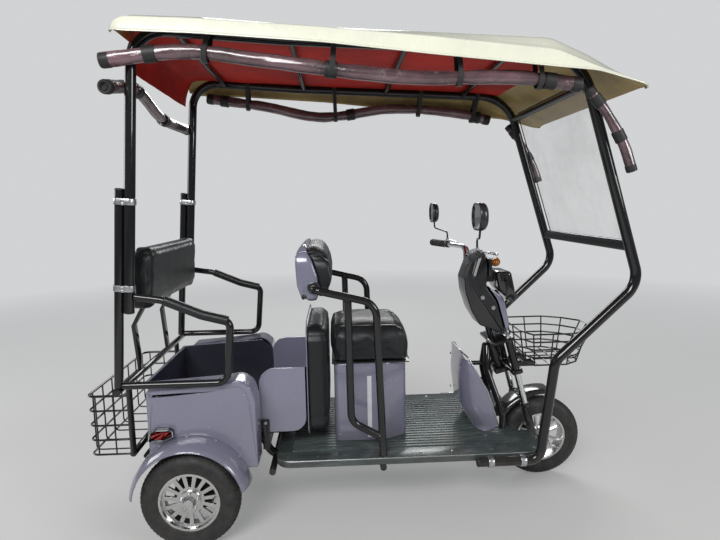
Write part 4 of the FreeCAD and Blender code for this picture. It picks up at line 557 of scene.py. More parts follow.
def path_piece(name, paths):
    """Straight runs as a bare mesh: each path is a list of (point, bend radius in metres)."""
    points, edges, bends = [], [], []
    for path in paths:
        start = len(points)
        points += [point for point, bend in path]
        bends += [bend for point, bend in path]
        edges += [(i, i + 1) for i in range(start, len(points) - 1)]
    piece = bare_piece(name, points, edges)
    piece.data.attributes.new("bend", "FLOAT", "POINT").data.foreach_set("value", bends)
    return piece


def tubes(name, paths, radius, material, sides=None, steps=None):
    """Bent round bars, all of one radius, given in millimetres."""
    piece = path_piece(name, paths)
    return run_group(piece, "bent_tube", Radius=radius / 1000, Sides=sides or sizes().tube_sides,
                     Bend_Steps=steps or sizes().bend_steps, Finish=MADE[material])


def path(points, bends):
    """Points in millimetres with the bend radii of the inner ones."""
    radii = [0] + list(bends) + [0]
    return [(at(*point), bend / 1000) for point, bend in zip(points, radii)]


def flipped(run):
    """The same run on the other side of the middle plane."""
    return [(Vector((point.x, -point.y, point.z)), bend) for point, bend in run]


def hidden(piece):
    """Take a pattern piece out of the scene once it has been copied."""
    bpy.data.objects.remove(piece)


def around_wheel(name, shape, count, centre, material):
    base = new_piece(name, [(0, 0, 0)], [], material)
    piece = run_group(base, "wheel_ring", Shape=shape, Count=count, Centre=tuple(centre),
                      Finish=MADE[material])
    hidden(shape)
    return piece


def fixings(name, shape, places, material):
    """Copies of a shape at (point, direction) places; the shape's own +Z looks along the direction."""
    base = bare_piece(name, [point for point, aim in places])
    angles = []
    for point, aim in places:
        angles += list(Vector(aim).to_track_quat("Z", "Y").to_euler())
    base.data.attributes.new("angles", "FLOAT_VECTOR", "POINT").data.foreach_set("vector", angles)
    piece = run_group(base, "fixings", Shape=shape, Finish=MADE[material])
    hidden(shape)
    return piece


def fasten(name, shape, places, body="chassis"):
    """Zinc-plated screws, bolts or rivets on a body."""
    settle(fixings(name, shape, places, "zinc_plate"), body)


# Shapes
def turned_shape(name, profile, material, sides=32):
    """A closed shape turned about Z from (radius, height) pairs."""
    points, faces = [], []
    count = len(profile)
    for i in range(sides):
        angle = 2 * math.pi * i / sides
        points += [Vector((radius * math.cos(angle), radius * math.sin(angle), height))
                   for radius, height in profile]
    for i in range(sides):
        a, b = i * count, (i + 1) % sides * count
        faces += [(a + k, b + k, b + k + 1, a + k + 1) for k in range(count - 1)]
    piece = new_piece(name, points, faces, material)
    tidy(piece)
    return piece


def aimed(piece, place, along):
    """Turn a shape's own +Z along a direction and set it at a place."""
    turn = Vector(along).to_track_quat("Z", "Y").to_matrix().to_4x4()
    piece.data.transform(Matrix.Translation(place) @ turn)
    return piece


def spun(name, rows, radius, material, sides, place, along):
    """A turned shape whose rows are shares of a radius, set at a place and along a direction."""
    return aimed(turned_shape(name, [(r * radius, h * radius) for r, h in rows], material, sides), place,
                 along)


def tidy(piece, distance=1e-6):
    """Merge doubles, close poles and point the faces outwards."""
    work = bmesh.new()
    work.from_mesh(piece.data)
    bmesh.ops.remove_doubles(work, verts=work.verts, dist=distance)
    bmesh.ops.recalc_face_normals(work, faces=work.faces)
    work.to_mesh(piece.data)
    work.free()
    return piece


def wheel_turned(name, profile, centre, material, sides=96, start=0.0, sweep=360.0):
    """A shape turned about a line along Y from (radius, side) pairs in millimetres; part turns are capped."""
    points, faces = [], []
    whole = sweep >= 360
    count = len(profile)
    rings = sides if whole else sides + 1
    for i in range(rings):
        angle = math.radians(start + sweep * i / sides)
        points += [centre + Vector((radius * math.cos(angle), side, radius * math.sin(angle))) / 1000
                   for radius, side in profile]
    for i in range(sides):
        a, b = i * count, (i + 1) % rings * count
        faces += [(a + k, a + (k + 1) % count, b + (k + 1) % count, b + k) for k in range(count)]
    if not whole:
        faces.append(tuple(range(count)))
        faces.append(tuple((rings - 1) * count + k for k in reversed(range(count))))
    piece = new_piece(name, points, faces, material)
    return tidy(piece)


def slab(name, outline, near, far, plane, material):
    """A flat-sided solid: an outline in millimetres pushed from near to far across its plane."""
    def place(a, b, c):
        if plane == "XZ":
            return at(a, c, b)
        return at(c, a, b)

    count = len(outline)
    points = [place(a, b, near) for a, b in outline] + [place(a, b, far) for a, b in outline]
    faces = [tuple(range(count)), tuple(reversed(range(count, 2 * count)))]
    faces += [(k, count + k, count + (k + 1) % count, (k + 1) % count) for k in range(count)]
    return tidy(new_piece(name, points, faces, material))


def rounded_outline(corners, radii, steps=6):
    """Round each corner of an outline by its own radius."""
    result = []
    count = len(corners)
    for i, corner in enumerate(corners):
        radius = radii[i] if isinstance(radii, (list, tuple)) else radii
        here = Vector(corner)
        back = (Vector(corners[i - 1]) - here)
        ahead = (Vector(corners[(i + 1) % count]) - here)
        half = back.angle(ahead) / 2
        if radius <= 0 or half > math.radians(89):
            result.append(tuple(here))
            continue
        reach = min(radius / math.tan(half), back.length * 0.49, ahead.length * 0.49)
        radius = reach * math.tan(half)
        back.normalize()
        ahead.normalize()
        centre = here + (back + ahead).normalized() * (radius / math.sin(half))
        start = here + back * reach - centre
        end = here + ahead * reach - centre
        turn = start.angle_signed(end)
        for k in range(steps + 1):
            angle = turn * k / steps
            result.append(tuple(centre + Vector((
                start.x * math.cos(angle) + start.y * math.sin(angle),
                -start.x * math.sin(angle) + start.y * math.cos(angle)))))
    return result


def inset_outline(outline, distance):
    """Move an outline inwards by a distance; the outline runs anticlockwise or clockwise."""
    count = len(outline)
    area = sum(outline[i][0] * outline[(i + 1) % count][1] - outline[(i + 1) % count][0] * outline[i][1]
               for i in range(count))
    way = 1 if area > 0 else -1
    result = []
    for i in range(count):
        before, here, after = (Vector(outline[(i + k) % count]) for k in (-1, 0, 1))
        first = (here - before)
        second = (after - here)
        first = first.normalized() if first.length > 1e-9 else second.normalized()
        second = second.normalized() if second.length > 1e-9 else first
        normal = Vector((-first.y, first.x)) + Vector((-second.y, second.x))
        if normal.length < 1e-6:
            normal = Vector((-first.y, first.x))
        normal.normalize()
        stretch = 1 / max(0.45, normal.dot(Vector((-first.y, first.x))))
        result.append(tuple(here + normal * (way * distance * stretch)))
    return result


def stepped_panel(name, outline, steps, place, material, closed_back=True, inner=inset_outline):
    """A panel of nested outlines: steps are (inset, depth) pairs; place turns (a, b, depth) into a point."""
    count = len(outline)
    points, faces = [], []
    for inset, depth in steps:
        points += [place(a, b, depth) for a, b in inner(outline, inset)]
    for level in range(len(steps) - 1):
        low, high = level * count, (level + 1) * count
        faces += [(low + k, low + (k + 1) % count, high + (k + 1) % count, high + k) for k in range(count)]
    faces.append(tuple((len(steps) - 1) * count + k for k in range(count)))
    if closed_back:
        faces.append(tuple(reversed(range(count))))
    return tidy(new_piece(name, points, faces, material))


def mirrored_piece(piece, name):
    """A twin on the other side of the middle plane, its faces turned to look outwards."""
    twin = piece.copy()
    twin.data = piece.data.copy()
    twin.name = name
    bpy.context.scene.collection.objects.link(twin)
    twin.data.transform(Matrix.Scale(-1, 4, (0, 1, 0)))
    twin.data.flip_normals()
    return twin


def swept(name, rows, material, over=False):
    """An open skin over rows of points of one length; over turns its faces to the other side."""
    count = len(rows[0])
    faces = []
    for i in range(len(rows) - 1):
        for k in range(count - 1):
            a, b = i * count + k, (i + 1) * count + k
            faces.append((a, a + 1, b + 1, b) if over else (a, b, b + 1, a + 1))
    return new_piece(name, [point for row in rows for point in row], faces, material)


def smooth_line(points, step):
    """Evenly spaced points on a rounded line through the given ones."""
    knots = [points[0] * 2 - points[1]] + list(points) + [points[-1] * 2 - points[-2]]
    fine = []
    for a, b, c, d in zip(knots, knots[1:], knots[2:], knots[3:]):
        for k in range(24):
            t = k / 24
            fine.append(0.5 * ((2 * b) + (c - a) * t + (2 * a - 5 * b + 4 * c - d) * t * t
                               + (3 * b - a - 3 * c + d) * t ** 3))
    fine.append(points[-1])
    lengths = [0.0]
    for a, b in zip(fine, fine[1:]):
        lengths.append(lengths[-1] + (b - a).length)
    total = lengths[-1]
    count = max(2, round(total / step))
    result = []
    place = 0
    for k in range(count + 1):
        want = total * k / count
        while place < len(lengths) - 2 and lengths[place + 1] < want:
            place += 1
        span = lengths[place + 1] - lengths[place]
        share = 0 if span < 1e-12 else (want - lengths[place]) / span
        result.append(fine[place].lerp(fine[place + 1], share))
    return result


def frames_on(line):
    """For each point of a line: its direction, a sideways and an upward direction that don't twist."""
    result = []
    side = None
    for i in range(len(line)):
        ahead = (line[min(i + 1, len(line) - 1)] - line[max(i - 1, 0)]).normalized()
        if side is None:
            side = ahead.cross(Vector((0, 0, 1)))
            side = side.normalized() if side.length > 0.2 else ahead.cross(Vector((1, 0, 0))).normalized()
        side = (side - ahead * side.dot(ahead)).normalized()
        result.append((ahead, side, side.cross(ahead).normalized()))
    return result


BOLT = ((0.0, 1.15), (0.78, 1.15), (1.0, 1.0), (1.0, 0.12), (1.55, 0.12), (1.55, -0.35), (0.0, -0.35))


def nut_shape(radius, height):
    """A nut or a bolt's head on its washer."""
    return turned_shape("Nut", [(r * radius, h * height) for r, h in BOLT], "zinc_plate", 12)


def button_shape(radius, height):
    """A low domed head."""
    rows = [(0.0, 1.0), (0.45, 0.93), (0.8, 0.66), (1.0, 0.2), (1.0, -0.6), (0.0, -0.6)]
    return turned_shape("Button", [(r * radius, h * height) for r, h in rows], "zinc_plate", 16)


class Step:
    """What the operators share: each makes its pieces and is done."""

    def execute(self, context):
        self.make(context)
        return {"FINISHED"}


class TricycleStage(Step, bpy.types.Operator):
    """Pale floor, soft lamps and the camera at the photograph's angle"""

    bl_idname = "tricycle.stage"
    bl_label = "Stage and camera"

    def make(self, context):
        scene = context.scene
        scene.view_settings.view_transform = "Standard"
        tree, shader = begin_material("pale_floor", (0.62, 0.615, 0.60), 0.75)
        tree.links.new(mix(tree, speckle(tree, 1.4, 5), (0.60, 0.595, 0.58), (0.66, 0.655, 0.64)),
                       shader.inputs["Base Color"])
        lit = put(tree, "ShaderNodeEmission", Color=(0.80, 0.81, 0.82, 1), Strength=0.8).outputs[0]
        spot = put(tree, "ShaderNodeTexCoord").outputs["Object"]
        far = put(tree, "ShaderNodeVectorMath", {"operation": "LENGTH"}, i0=spot).outputs["Value"]
        seen = put(tree, "ShaderNodeMath", {"operation": "MULTIPLY"},
                   i0=put(tree, "ShaderNodeLightPath").outputs["Is Camera Ray"],
                   i1=spread(tree, far, 1.5, 7.5, 0.25, 1.0)).outputs[0]
        floor_look = put(tree, "ShaderNodeMixShader", i0=seen, i1=shader.outputs[0], i2=lit).outputs[0]
        tree.links.new(floor_look, tree.nodes["Material Output"].inputs[0])
        floor = new_piece("Floor", [(-30, -30, 0), (30, -30, 0), (30, 30, 0), (-30, 30, 0)], [(0, 1, 2, 3)],
                          "pale_floor")
        world = bpy.data.worlds.new("Room")
        scene.world = world
        world.use_nodes = True
        tree = world.node_tree
        ground = tree.nodes["Background"]
        ray = put(tree, "ShaderNodeLightPath")
        shown = put(tree, "ShaderNodeMath", {"operation": "MAXIMUM"}, i0=ray.outputs["Is Camera Ray"],
                    i1=ray.outputs["Is Transmission Ray"]).outputs[0]
        pale = put(tree, "ShaderNodeBackground", Color=(0.80, 0.81, 0.82, 1), Strength=0.8).outputs[0]
        ground.inputs["Color"].default_value = (0.86, 0.90, 0.95, 1)
        ground.inputs["Strength"].default_value = 0.22
        both = put(tree, "ShaderNodeMixShader", i0=shown, i1=ground.outputs[0], i2=pale).outputs[0]
        tree.links.new(both, tree.nodes["World Output"].inputs[0])
        # place, aim, width and height in metres, power in watts
        lamps = (("Key", (-1.6, -4.2, 3.6), (0, 0, 0.9), 2.6, 1.5, 175),
                 ("Side", (3.6, -3.0, 2.2), (0.3, 0, 0.8), 1.8, 1.3, 70),
                 ("Back", (0.4, 4.4, 3.4), (0, 0, 1.0), 4.0, 1.2, 105),
                 ("Tail", (-4.2, 0.6, 2.2), (-0.4, 0, 0.8), 2.0, 1.4, 38))
        for name, place, aim, wide, tall, power in lamps:
            light = bpy.data.lights.new(name, "AREA")
            light.shape = "RECTANGLE"
            light.size = wide
            light.size_y = tall
            light.energy = power
            lamp = bpy.data.objects.new(name, light)
            scene.collection.objects.link(lamp)
            lamp.location = place
            lamp.rotation_euler = (Vector(place) - Vector(aim)).to_track_quat("Z", "Y").to_euler()
        # the camera as fitted to the photograph: heading, fall and roll in degrees
        yaw, fall, roll = (math.radians(angle) for angle in (2.6413, 7.351, -1.014))
        level = Vector((math.sin(yaw), math.cos(yaw), 0))
        right = Vector((math.cos(yaw), -math.sin(yaw), 0))
        up = Vector((0, 0, 1))
        ahead = level * math.cos(fall) - up * math.sin(fall)
        above = up * math.cos(fall) + level * math.sin(fall)
        right, above = (right * math.cos(roll) + above * math.sin(roll),
                        above * math.cos(roll) - right * math.sin(roll))
        data = bpy.data.cameras.new("Camera")
        data.sensor_width = 36
        data.lens = 25.65
        camera = bpy.data.objects.new("Camera", data)
        scene.collection.objects.link(camera)
        turn = Matrix((right, above, -ahead)).transposed()
        camera.matrix_world = Matrix.Translation(at(560.4, -2234.6, 1263.2)) @ turn.to_4x4()
        scene.camera = camera


HOOP = path([(-188, -HOOP_OUT, 892), (-112, -HOOP_OUT, 1862), (402, -HOOP_OUT, 1824),
             (1436, -HOOP_OUT, 1777), (1691, -HOOP_OUT, 950),
             (1381, -HOOP_OUT, 659), (1347, -RAIL_OUT, 245), (1100, -RAIL_OUT, 245)],
            [120, 600, 200, 100, 80, 50])
BAR = path([(1060, -388, 1060), (1165, -130, 1056), (1150, -60, 935), (1150, 60, 935), (1165, 130, 1056),
            (1060, 388, 1060)], [50, 40, 40, 50])


def weld(place, along, radius, material="black_enamel"):
    """A small fillet of weld round a bar of a radius, at a place and along the bar."""
    rows = [(0.90, -0.16), (1.10, -0.12), (1.17, 0.0), (1.08, 0.12), (0.90, 0.20)]
    return spun("Weld", rows, radius, material, 24, place, along)


def plug(place, along, radius, proud=0.3):
    """A moulded plug in a tube's open end, its rim just proud of the tube."""
    rows = [(0.0, proud), (0.7, proud * 0.95), (0.96, proud * 0.6), (1.0, 0.0), (1.0, -0.12), (0.0, -0.12)]
    return spun("Plug", rows, radius, "black_shell", 28, place, along)


class TricycleHoops(Step, bpy.types.Operator):
    """Roof hoops with their end plugs"""

    bl_idname = "tricycle.hoops"
    bl_label = "Roof hoops"

    def make(self, context):
        bars = tubes("RoofHoops", [HOOP, flipped(HOOP)], 19, "black_enamel", steps=16)
        parts = [bars]
        for side in (-1, 1):
            parts.append(plug(at(-188, side * HOOP_OUT, 892), at(-188, 0, 892) - at(-112, 0, 1862), 0.019,
                              proud=0.35))
            parts.append(plug(at(1100, side * RAIL_OUT, 245), (-1, 0, 0), 0.019))
        settle(join(parts, "RoofHoops"), "chassis", ["roof_hoops"])


def hoop_x(height):
    return -188 + 76 * (height - 892) / 970


class TricyclePosts(Step, bpy.types.Operator):
    """Lower posts with their plugs, and the pipe clamps with their bolts"""

    bl_idname = "tricycle.posts"
    bl_label = "Posts and clamps"

    def make(self, context):
        runs, parts = [], []
        for side in (-1, 1):
            low = at(hoop_x(613.3) - 35.44, side * HOOP_OUT, 613.3)
            high = at(hoop_x(1326) - 35.44, side * HOOP_OUT, 1326)
            runs.append([(low, 0), (high, 0)])
            parts.append(plug(high, high - low, 0.016, proud=0.4))
        posts = tubes("LowerPosts", runs, 16, "black_enamel")
        settle(join([posts] + parts, "LowerPosts"), "chassis", ["lower_posts"])
        clamps = rounded_copy("tube_clamps", "TubeClamps", "zinc_plate", 0.0008, 2)
        places = []
        for side in (-1, 1):
            for height in (978, 1284):
                middle = at(hoop_x(height) - 17.5, side * HOOP_OUT, height)
                for level in (-0.006, 0.006):
                    places.append((middle + Vector((0, side * 0.0195, level)), (0, side, 0)))
                    places.append((middle + Vector((0, -side * 0.0195, level)), (0, -side, 0)))
            for share in (0.2, 0.72):
                x = 1100 + 247 * share
                places.append((at(x, side * 308, 236.4), (0, 0, -1)))
                places.append((at(x + 7, side * 296, 236.4), (0, 0, -1)))
        bolts = fixings("ClampBolts", nut_shape(0.0042, 0.0042), places, "zinc_plate")
        settle(clamps, "chassis", ["tube_clamps"])
        settle(bolts, "chassis")


class TricycleRails(Step, bpy.types.Operator):
    """Armrests, roof bars, windscreen bar, driver's guards and the backrest straps"""

    bl_idname = "tricycle.rails"
    bl_label = "Rails and bars"

    def make(self, context):
        arm = path([(-163.3, -HOOP_OUT, 946), (-70, -HOOP_OUT, 932), (70, -HOOP_OUT, 874),
                    (170, -HOOP_OUT, 848), (150, -HOOP_OUT, 617),
                    (-227.5, -HOOP_OUT, 617)], [90, 120, 34, 44])
        arms = tubes("Armrests", [arm, flipped(arm)], 14, "black_enamel", steps=14)
        welds = []
        for side in (-1, 1):
            welds.append(weld(at(-163.3, side * HOOP_OUT, 946), (1, 0, -0.15), 0.014))
            welds.append(weld(at(-227.5, side * HOOP_OUT, 617), (1, 0, 0), 0.014))
        settle(join([arms] + welds, "Armrests"), "chassis", ["armrests"])
        rail = path([(470, -268.3, 943), (470, -GUARD_OUT, 943), (708, -GUARD_OUT, 885),
                     (729, -GUARD_OUT, 271)], [25, 70])
        branch = path([(600, -GUARD_OUT, 912), (605, -GUARD_OUT, 415), (726, -GUARD_OUT, 345)], [60])
        guards = tubes("DriverGuards", [rail, flipped(rail), branch, flipped(branch)], 15, "black_enamel",
                       steps=16)
        welds = []
        for side in (-1, 1):
            welds.append(weld(at(600.2, side * GUARD_OUT, 896), (0, 0, -1), 0.015))
            welds.append(weld(at(713, side * GUARD_OUT, 353), (0.87, 0, -0.5), 0.015))
        settle(join([guards] + welds, "DriverGuards"), "chassis", ["driver_guards"])
        runs = []
        for x, z in ((422, 1823.1), (822, 1804.9), (1202, 1787.6), (38, 1845.9)):
            runs.append([(at(x, -BAR_HALF, z), 0), (at(x, BAR_HALF, z), 0)])
        bars = tubes("RoofBars", runs, 11, "black_enamel")
        top = tubes("TopBar", [[(at(1466, -BAR_HALF, 1668), 0), (at(1466, BAR_HALF, 1668), 0)]], 15,
                    "black_enamel")
        section = rounded_outline([(1637, 1072), (1657, 1072), (1657, 1112), (1637, 1112)], 3.5, 4)
        box_bar = slab("ScreenBar", section, -BAR_HALF, BAR_HALF, "XZ", "black_enamel")
        welds = []
        for x, z, radius in ((422, 1823.1, 0.011), (822, 1804.9, 0.011), (1202, 1787.6, 0.011),
                             (38, 1845.9, 0.011), (1466, 1668, 0.015)):
            for side in (-1, 1):
                welds.append(weld(at(x, side * 366.2, z), (0, side, 0), radius))
        settle(join([bars, top, box_bar] + welds, "RoofBars"), "chassis", ["roof_crossbars"])
        straps = rounded_copy("backrest_frame", "BackrestStraps", "black_enamel", 0.0015, 3)
        settle(straps, "chassis", ["backrest_frame"])
        places = [(at(-214 - 12, side * 168 + dy, z), (-1, 0, 0)) for side in (-1, 1)
                  for dy, z in ((-9, 900), (9, 940))]
        fasten("StrapBolts", nut_shape(0.0045, 0.0045), places)


# Roof: distance from the rear axle, then the heights of its plateau, shoulder and lip
ROOF = ((-155, 1847, 1843, 1828), (-112, 1892, 1868, 1820), (120, 1885, 1860, 1811), (526, 1852, 1834, 1783),
        (900, 1836, 1801, 1743), (1313, 1816, 1757, 1702), (1450, 1756.8, 1704, 1690),
        (1640, 1652, 1648, 1638))


def roof_heights(x, soften=22):
    """Plateau, shoulder and lip heights at a distance, with the table's corners rounded."""
    table = np.array(ROOF, float)
    ends = (table[0, 0], table[-1, 0])
    reach = min(soften, x - ends[0], ends[1] - x)
    samples = np.linspace(x - reach, x + reach, 9)
    return [float(np.mean(np.interp(samples, table[:, 0], table[:, k]))) for k in (1, 2, 3)]


def roof_section(x):
    """Half of the roof's outer outline at a distance: (side, height) pairs from the middle to the lip."""
    plateau, shoulder, lip = roof_heights(x)
    tall = plateau - shoulder
    rows = [(side, plateau) for side in (0, 80, 160, 240, 320, 390)]
    # plateau edge, sloping shoulder, upright side, turned-out lip
    for t in (0.0, 0.25, 0.5, 0.75, 1.0):
        side = 412 + 26 * t
        drop = (max(0, side - 425) / 63) * tall
        rows.append((side, plateau - drop - 0.8 * math.sin(math.pi * t) * min(1, tall / 10)))
    rows.append((464, plateau - tall * (464 - 425) / 63))
    edge = plateau - tall * (480 - 425) / 63
    low = lip + 8
    depth = max(1.0, edge - low)
    rows += [(480, edge), (485, edge - min(3.0, depth * 0.3)), (487.6, edge - min(8, depth * 0.6))]
    rows += [(488, low + min(4, depth * 0.3)), (489, low + 1.0), (493, lip + 6.5), (498.5, lip + 5.0),
             (500, lip + 3.0), (500, lip)]
    return rows


def plan_scale(x, radius=46):
    """How much the roof narrows near its two ends, for rounded corners in plan."""
    gap = min(x - ROOF[0][0], ROOF[-1][0] - x)
    if gap >= radius:
        return 0.0
    return radius - math.sqrt(max(0.0, radius ** 2 - (radius - gap) ** 2))


class TricycleRoof(Step, bpy.types.Operator):
    """The moulded roof pan, its underside in a darker tan as painted shade"""

    bl_idname = "tricycle.roof"
    bl_label = "Roof pan"

    def make(self, context):
        places = [-155 + k for k in (0, 1.5, 4, 8, 14, 20, 27, 34, 41, 48, 56, 66)]
        places += list(np.linspace(-75, 1560, 76))
        places += [1640 - k for k in (70, 58, 47, 37, 28, 20, 13, 8, 4, 1.5, 0)]
        rings = []
        for x in places:
            narrow = plan_scale(x)
            half = [(side if side < 400 else side - narrow * (side - 400) / 100, height)
                    for side, height in roof_section(x)]
            rings.append([at(x, -side, height) for side, height in reversed(half)]
                         + [at(x, side, height) for side, height in half[1:]])
        pan = swept("RoofPan", rings, "cream_roof", over=True)
        # the second finish, on the inner skin, paints the shade under the roof in a darker tan
        pan.data.materials.append(MADE["raw_underside"])
        if sum(face.normal.z for face in pan.data.polygons) < 0:
            pan.data.flip_normals()
        add_modifier(pan, "SOLIDIFY", thickness=0.005, offset=-1, use_even_offset=False, material_offset=1,
                     material_offset_rim=0)
        bake(pan)
        settle(pan, "chassis", ["roof_panel"], 50)


class TricycleLining(Step, bpy.types.Operator):
    """Red cloth stretched over the roof bars, with a short flap behind"""

    bl_idname = "tricycle.lining"
    bl_label = "Roof lining"

    def make(self, context):
        line = [(-150, 1742), (-142, 1790), (-122, 1838), (-92, 1862), (38, 1859.5), (422, 1836.6),
                (822, 1818.4), (1202, 1801), (1400, 1780)]
        spine = smooth_line([at(x, 0, z) for x, z in line], 0.02)
        across = np.linspace(-1, 1, 41)
        rows = []
        for spot in spine:
            sag = 0.0035 * (0.5 - 0.5 * math.cos((spot.x + SHIFT) * 2 * math.pi / 0.39 - 0.6))
            row = []
            for t in across:
                ripple = 0.0022 * noise.noise(Vector((spot.x * 7, t * 5, 3.1)))
                row.append(spot + Vector((0, 0.364 * t, -sag * (1 - t * t) + ripple)))
            rows.append(row)
        cloth = swept("RoofLining", rows, "roof_lining", over=True)
        settle(cloth, "chassis", sharp=0)


class TricycleScreen(Step, bpy.types.Operator):
    """The clear front sheet with its edging and buttons"""

    bl_idname = "tricycle.screen"
    bl_label = "Windscreen"

    def make(self, context):
        low, high = at(1647, 0, 1092), at(1466, 0, 1668)
        lean = (high - low).normalized()
        ahead = Vector((lean.z, 0, -lean.x))
        foot = low - lean * 0.022 + ahead * 0.0164
        tall = (high - low).length + 0.045
        outline = rounded_outline([(-0.352, 0), (0.352, 0), (0.352, tall), (-0.352, tall)], 0.02, 6)

        def place(side, up, depth):
            return foot + Vector((0, side, 0)) + lean * up + ahead * depth

        sheet = stepped_panel("Windscreen", outline, ((0, 0.0), (0, 0.003)), place, "screen_sheet")
        settle(sheet, "chassis", ["windscreen"])
        edge = [(place(side, up, 0.0015), 0) for side, up in inset_outline(outline, 0.0025)]
        trim = tubes("ScreenEdging", [edge + [edge[0]]], 2.6, "black_shell", sides=10, steps=1)
        settle(trim, "chassis")
        places = [(place(side, up, 0.0034), ahead) for side in (-0.30, -0.1, 0.1, 0.30)
                  for up in (0.018, tall - 0.022)]
        settle(fixings("ScreenButtons", button_shape(0.009, 0.0035), places, "black_shell"), "chassis")


def block(name, low, high, material, edge=1.5, place=at):
    """A box between two corners in millimetres with rounded edges; place turns its own axes into a point."""
    corners = [(x, y, z) for x in (low[0], high[0]) for y in (low[1], high[1]) for z in (low[2], high[2])]
    faces = [(0, 1, 3, 2), (4, 6, 7, 5), (0, 4, 5, 1), (2, 3, 7, 6), (0, 2, 6, 4), (1, 5, 7, 3)]
    piece = tidy(new_piece(name, [place(*corner) for corner in corners], faces, material))
    add_modifier(piece, "BEVEL", width=edge / 1000, segments=3)
    return bake(piece)


def loaf(name, outline, half, material, edge=10, crown=0.0):
    """An outline in millimetres pushed to both sides of the middle, its rims rounded, its faces crowned."""
    def place(a, b, c):
        return at(a, c, b)

    steps = 5
    levels = []
    if crown:
        levels.append((edge * 2.6, half))
    for k in range(steps + 1):
        turn = math.pi / 2 * k / steps
        levels.append((edge * (1 - math.sin(turn)), half - crown - edge * (1 - math.cos(turn))))
    rows = [(inset, -side) for inset, side in levels] + [(inset, side) for inset, side in reversed(levels)]
    return stepped_panel(name, outline, rows, place, material)


def rods(name, runs, radius, material, sides=12):
    """Straight bars between pairs of points in millimetres."""
    return tubes(name, [[(at(*a), 0), (at(*b), 0)] for a, b in runs], radius, material, sides=sides)


def looped(points, bends):
    """A closed run: its first point lies on a straight stretch."""
    run = path(points, bends)
    return run + [run[0]]


def stand_in(node, name, body, material, width=1.2, segments=2):
    """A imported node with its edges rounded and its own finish."""
    return settle(rounded_copy(node, name, material, width / 1000, segments), body, [node])


def banded(name, first, second, r1, r2, wide, thick, axis, material):
    """A flat strap with rounded edges round two bars, mapped along and across for its weave."""
    away = second - first
    span = away.length
    away = away / span
    side = axis.cross(away).normalized()
    lean = math.asin((r1 - r2) / span)
    stops = []
    for centre, radius, start, end in ((first, r1, math.pi / 2 + lean, math.pi * 1.5 - lean),
                                       (second, r2, -math.pi / 2 - lean, math.pi / 2 + lean)):
        for k in range(17):
            angle = start + (end - start) * k / 16
            out = away * math.cos(angle) + side * math.sin(angle)
            stops.append((centre + out * radius, out))
    profile = [(-0.5, 0.15), (-0.44, 1.0), (0.44, 1.0), (0.5, 0.15), (0.44, 0.0), (-0.44, 0.0)]
    points, faces, flat = [], [], []
    length = 0.0
    for i, (spot, out) in enumerate(stops):
        points += [spot + out * (thick * h) + axis * (wide * w) for w, h in profile]
        flat.append(length)
        length += (stops[(i + 1) % len(stops)][0] - spot).length
    count, rows = len(profile), len(stops)
    for i in range(rows):
        a, b = i * count, (i + 1) % rows * count
        faces += [(a + k, b + k, b + (k + 1) % count, a + (k + 1) % count) for k in range(count)]
    piece = new_piece(name, points, faces, material)
    layer = piece.data.uv_layers.new(name="Weave")
    for face in piece.data.polygons:
        for loop in face.loop_indices:
            vertex = piece.data.loops[loop].vertex_index
            row = vertex // count
            along = flat[row] if not (face.vertices[0] // count == rows - 1 and row == 0) else length
            layer.data[loop].uv = (along * 10, profile[vertex % count][0] * wide * 10)
    return tidy(piece, 1e-7)


NEAR_ROLL = ((-200, 1745), (76, 1772), (354, 1739), (791, 1687), (1171, 1683), (1418, 1658))
FAR_ROLL = ((-60, 1794), (234, 1749), (506, 1698), (850, 1735), (1153, 1716), (1359, 1675))
FRONT_ROLL = ((1452, 1646), (1527, 1551), (1587, 1449), (1621, 1360))
REAR_ROLL = ((-484, 1652), (-202, 1698), (72, 1640), (456, 1644))
STRAP_PLACES = (150, 570, 998, 1280)


def height_on(points, place):
    for (x0, z0), (x1, z1) in zip(points, points[1:]):
        if x0 <= place <= x1:
            slope = (z1 - z0) / (x1 - x0)
            return z0 + slope * (place - x0), slope
    raise ValueError("no such place on the roll: %s" % place)


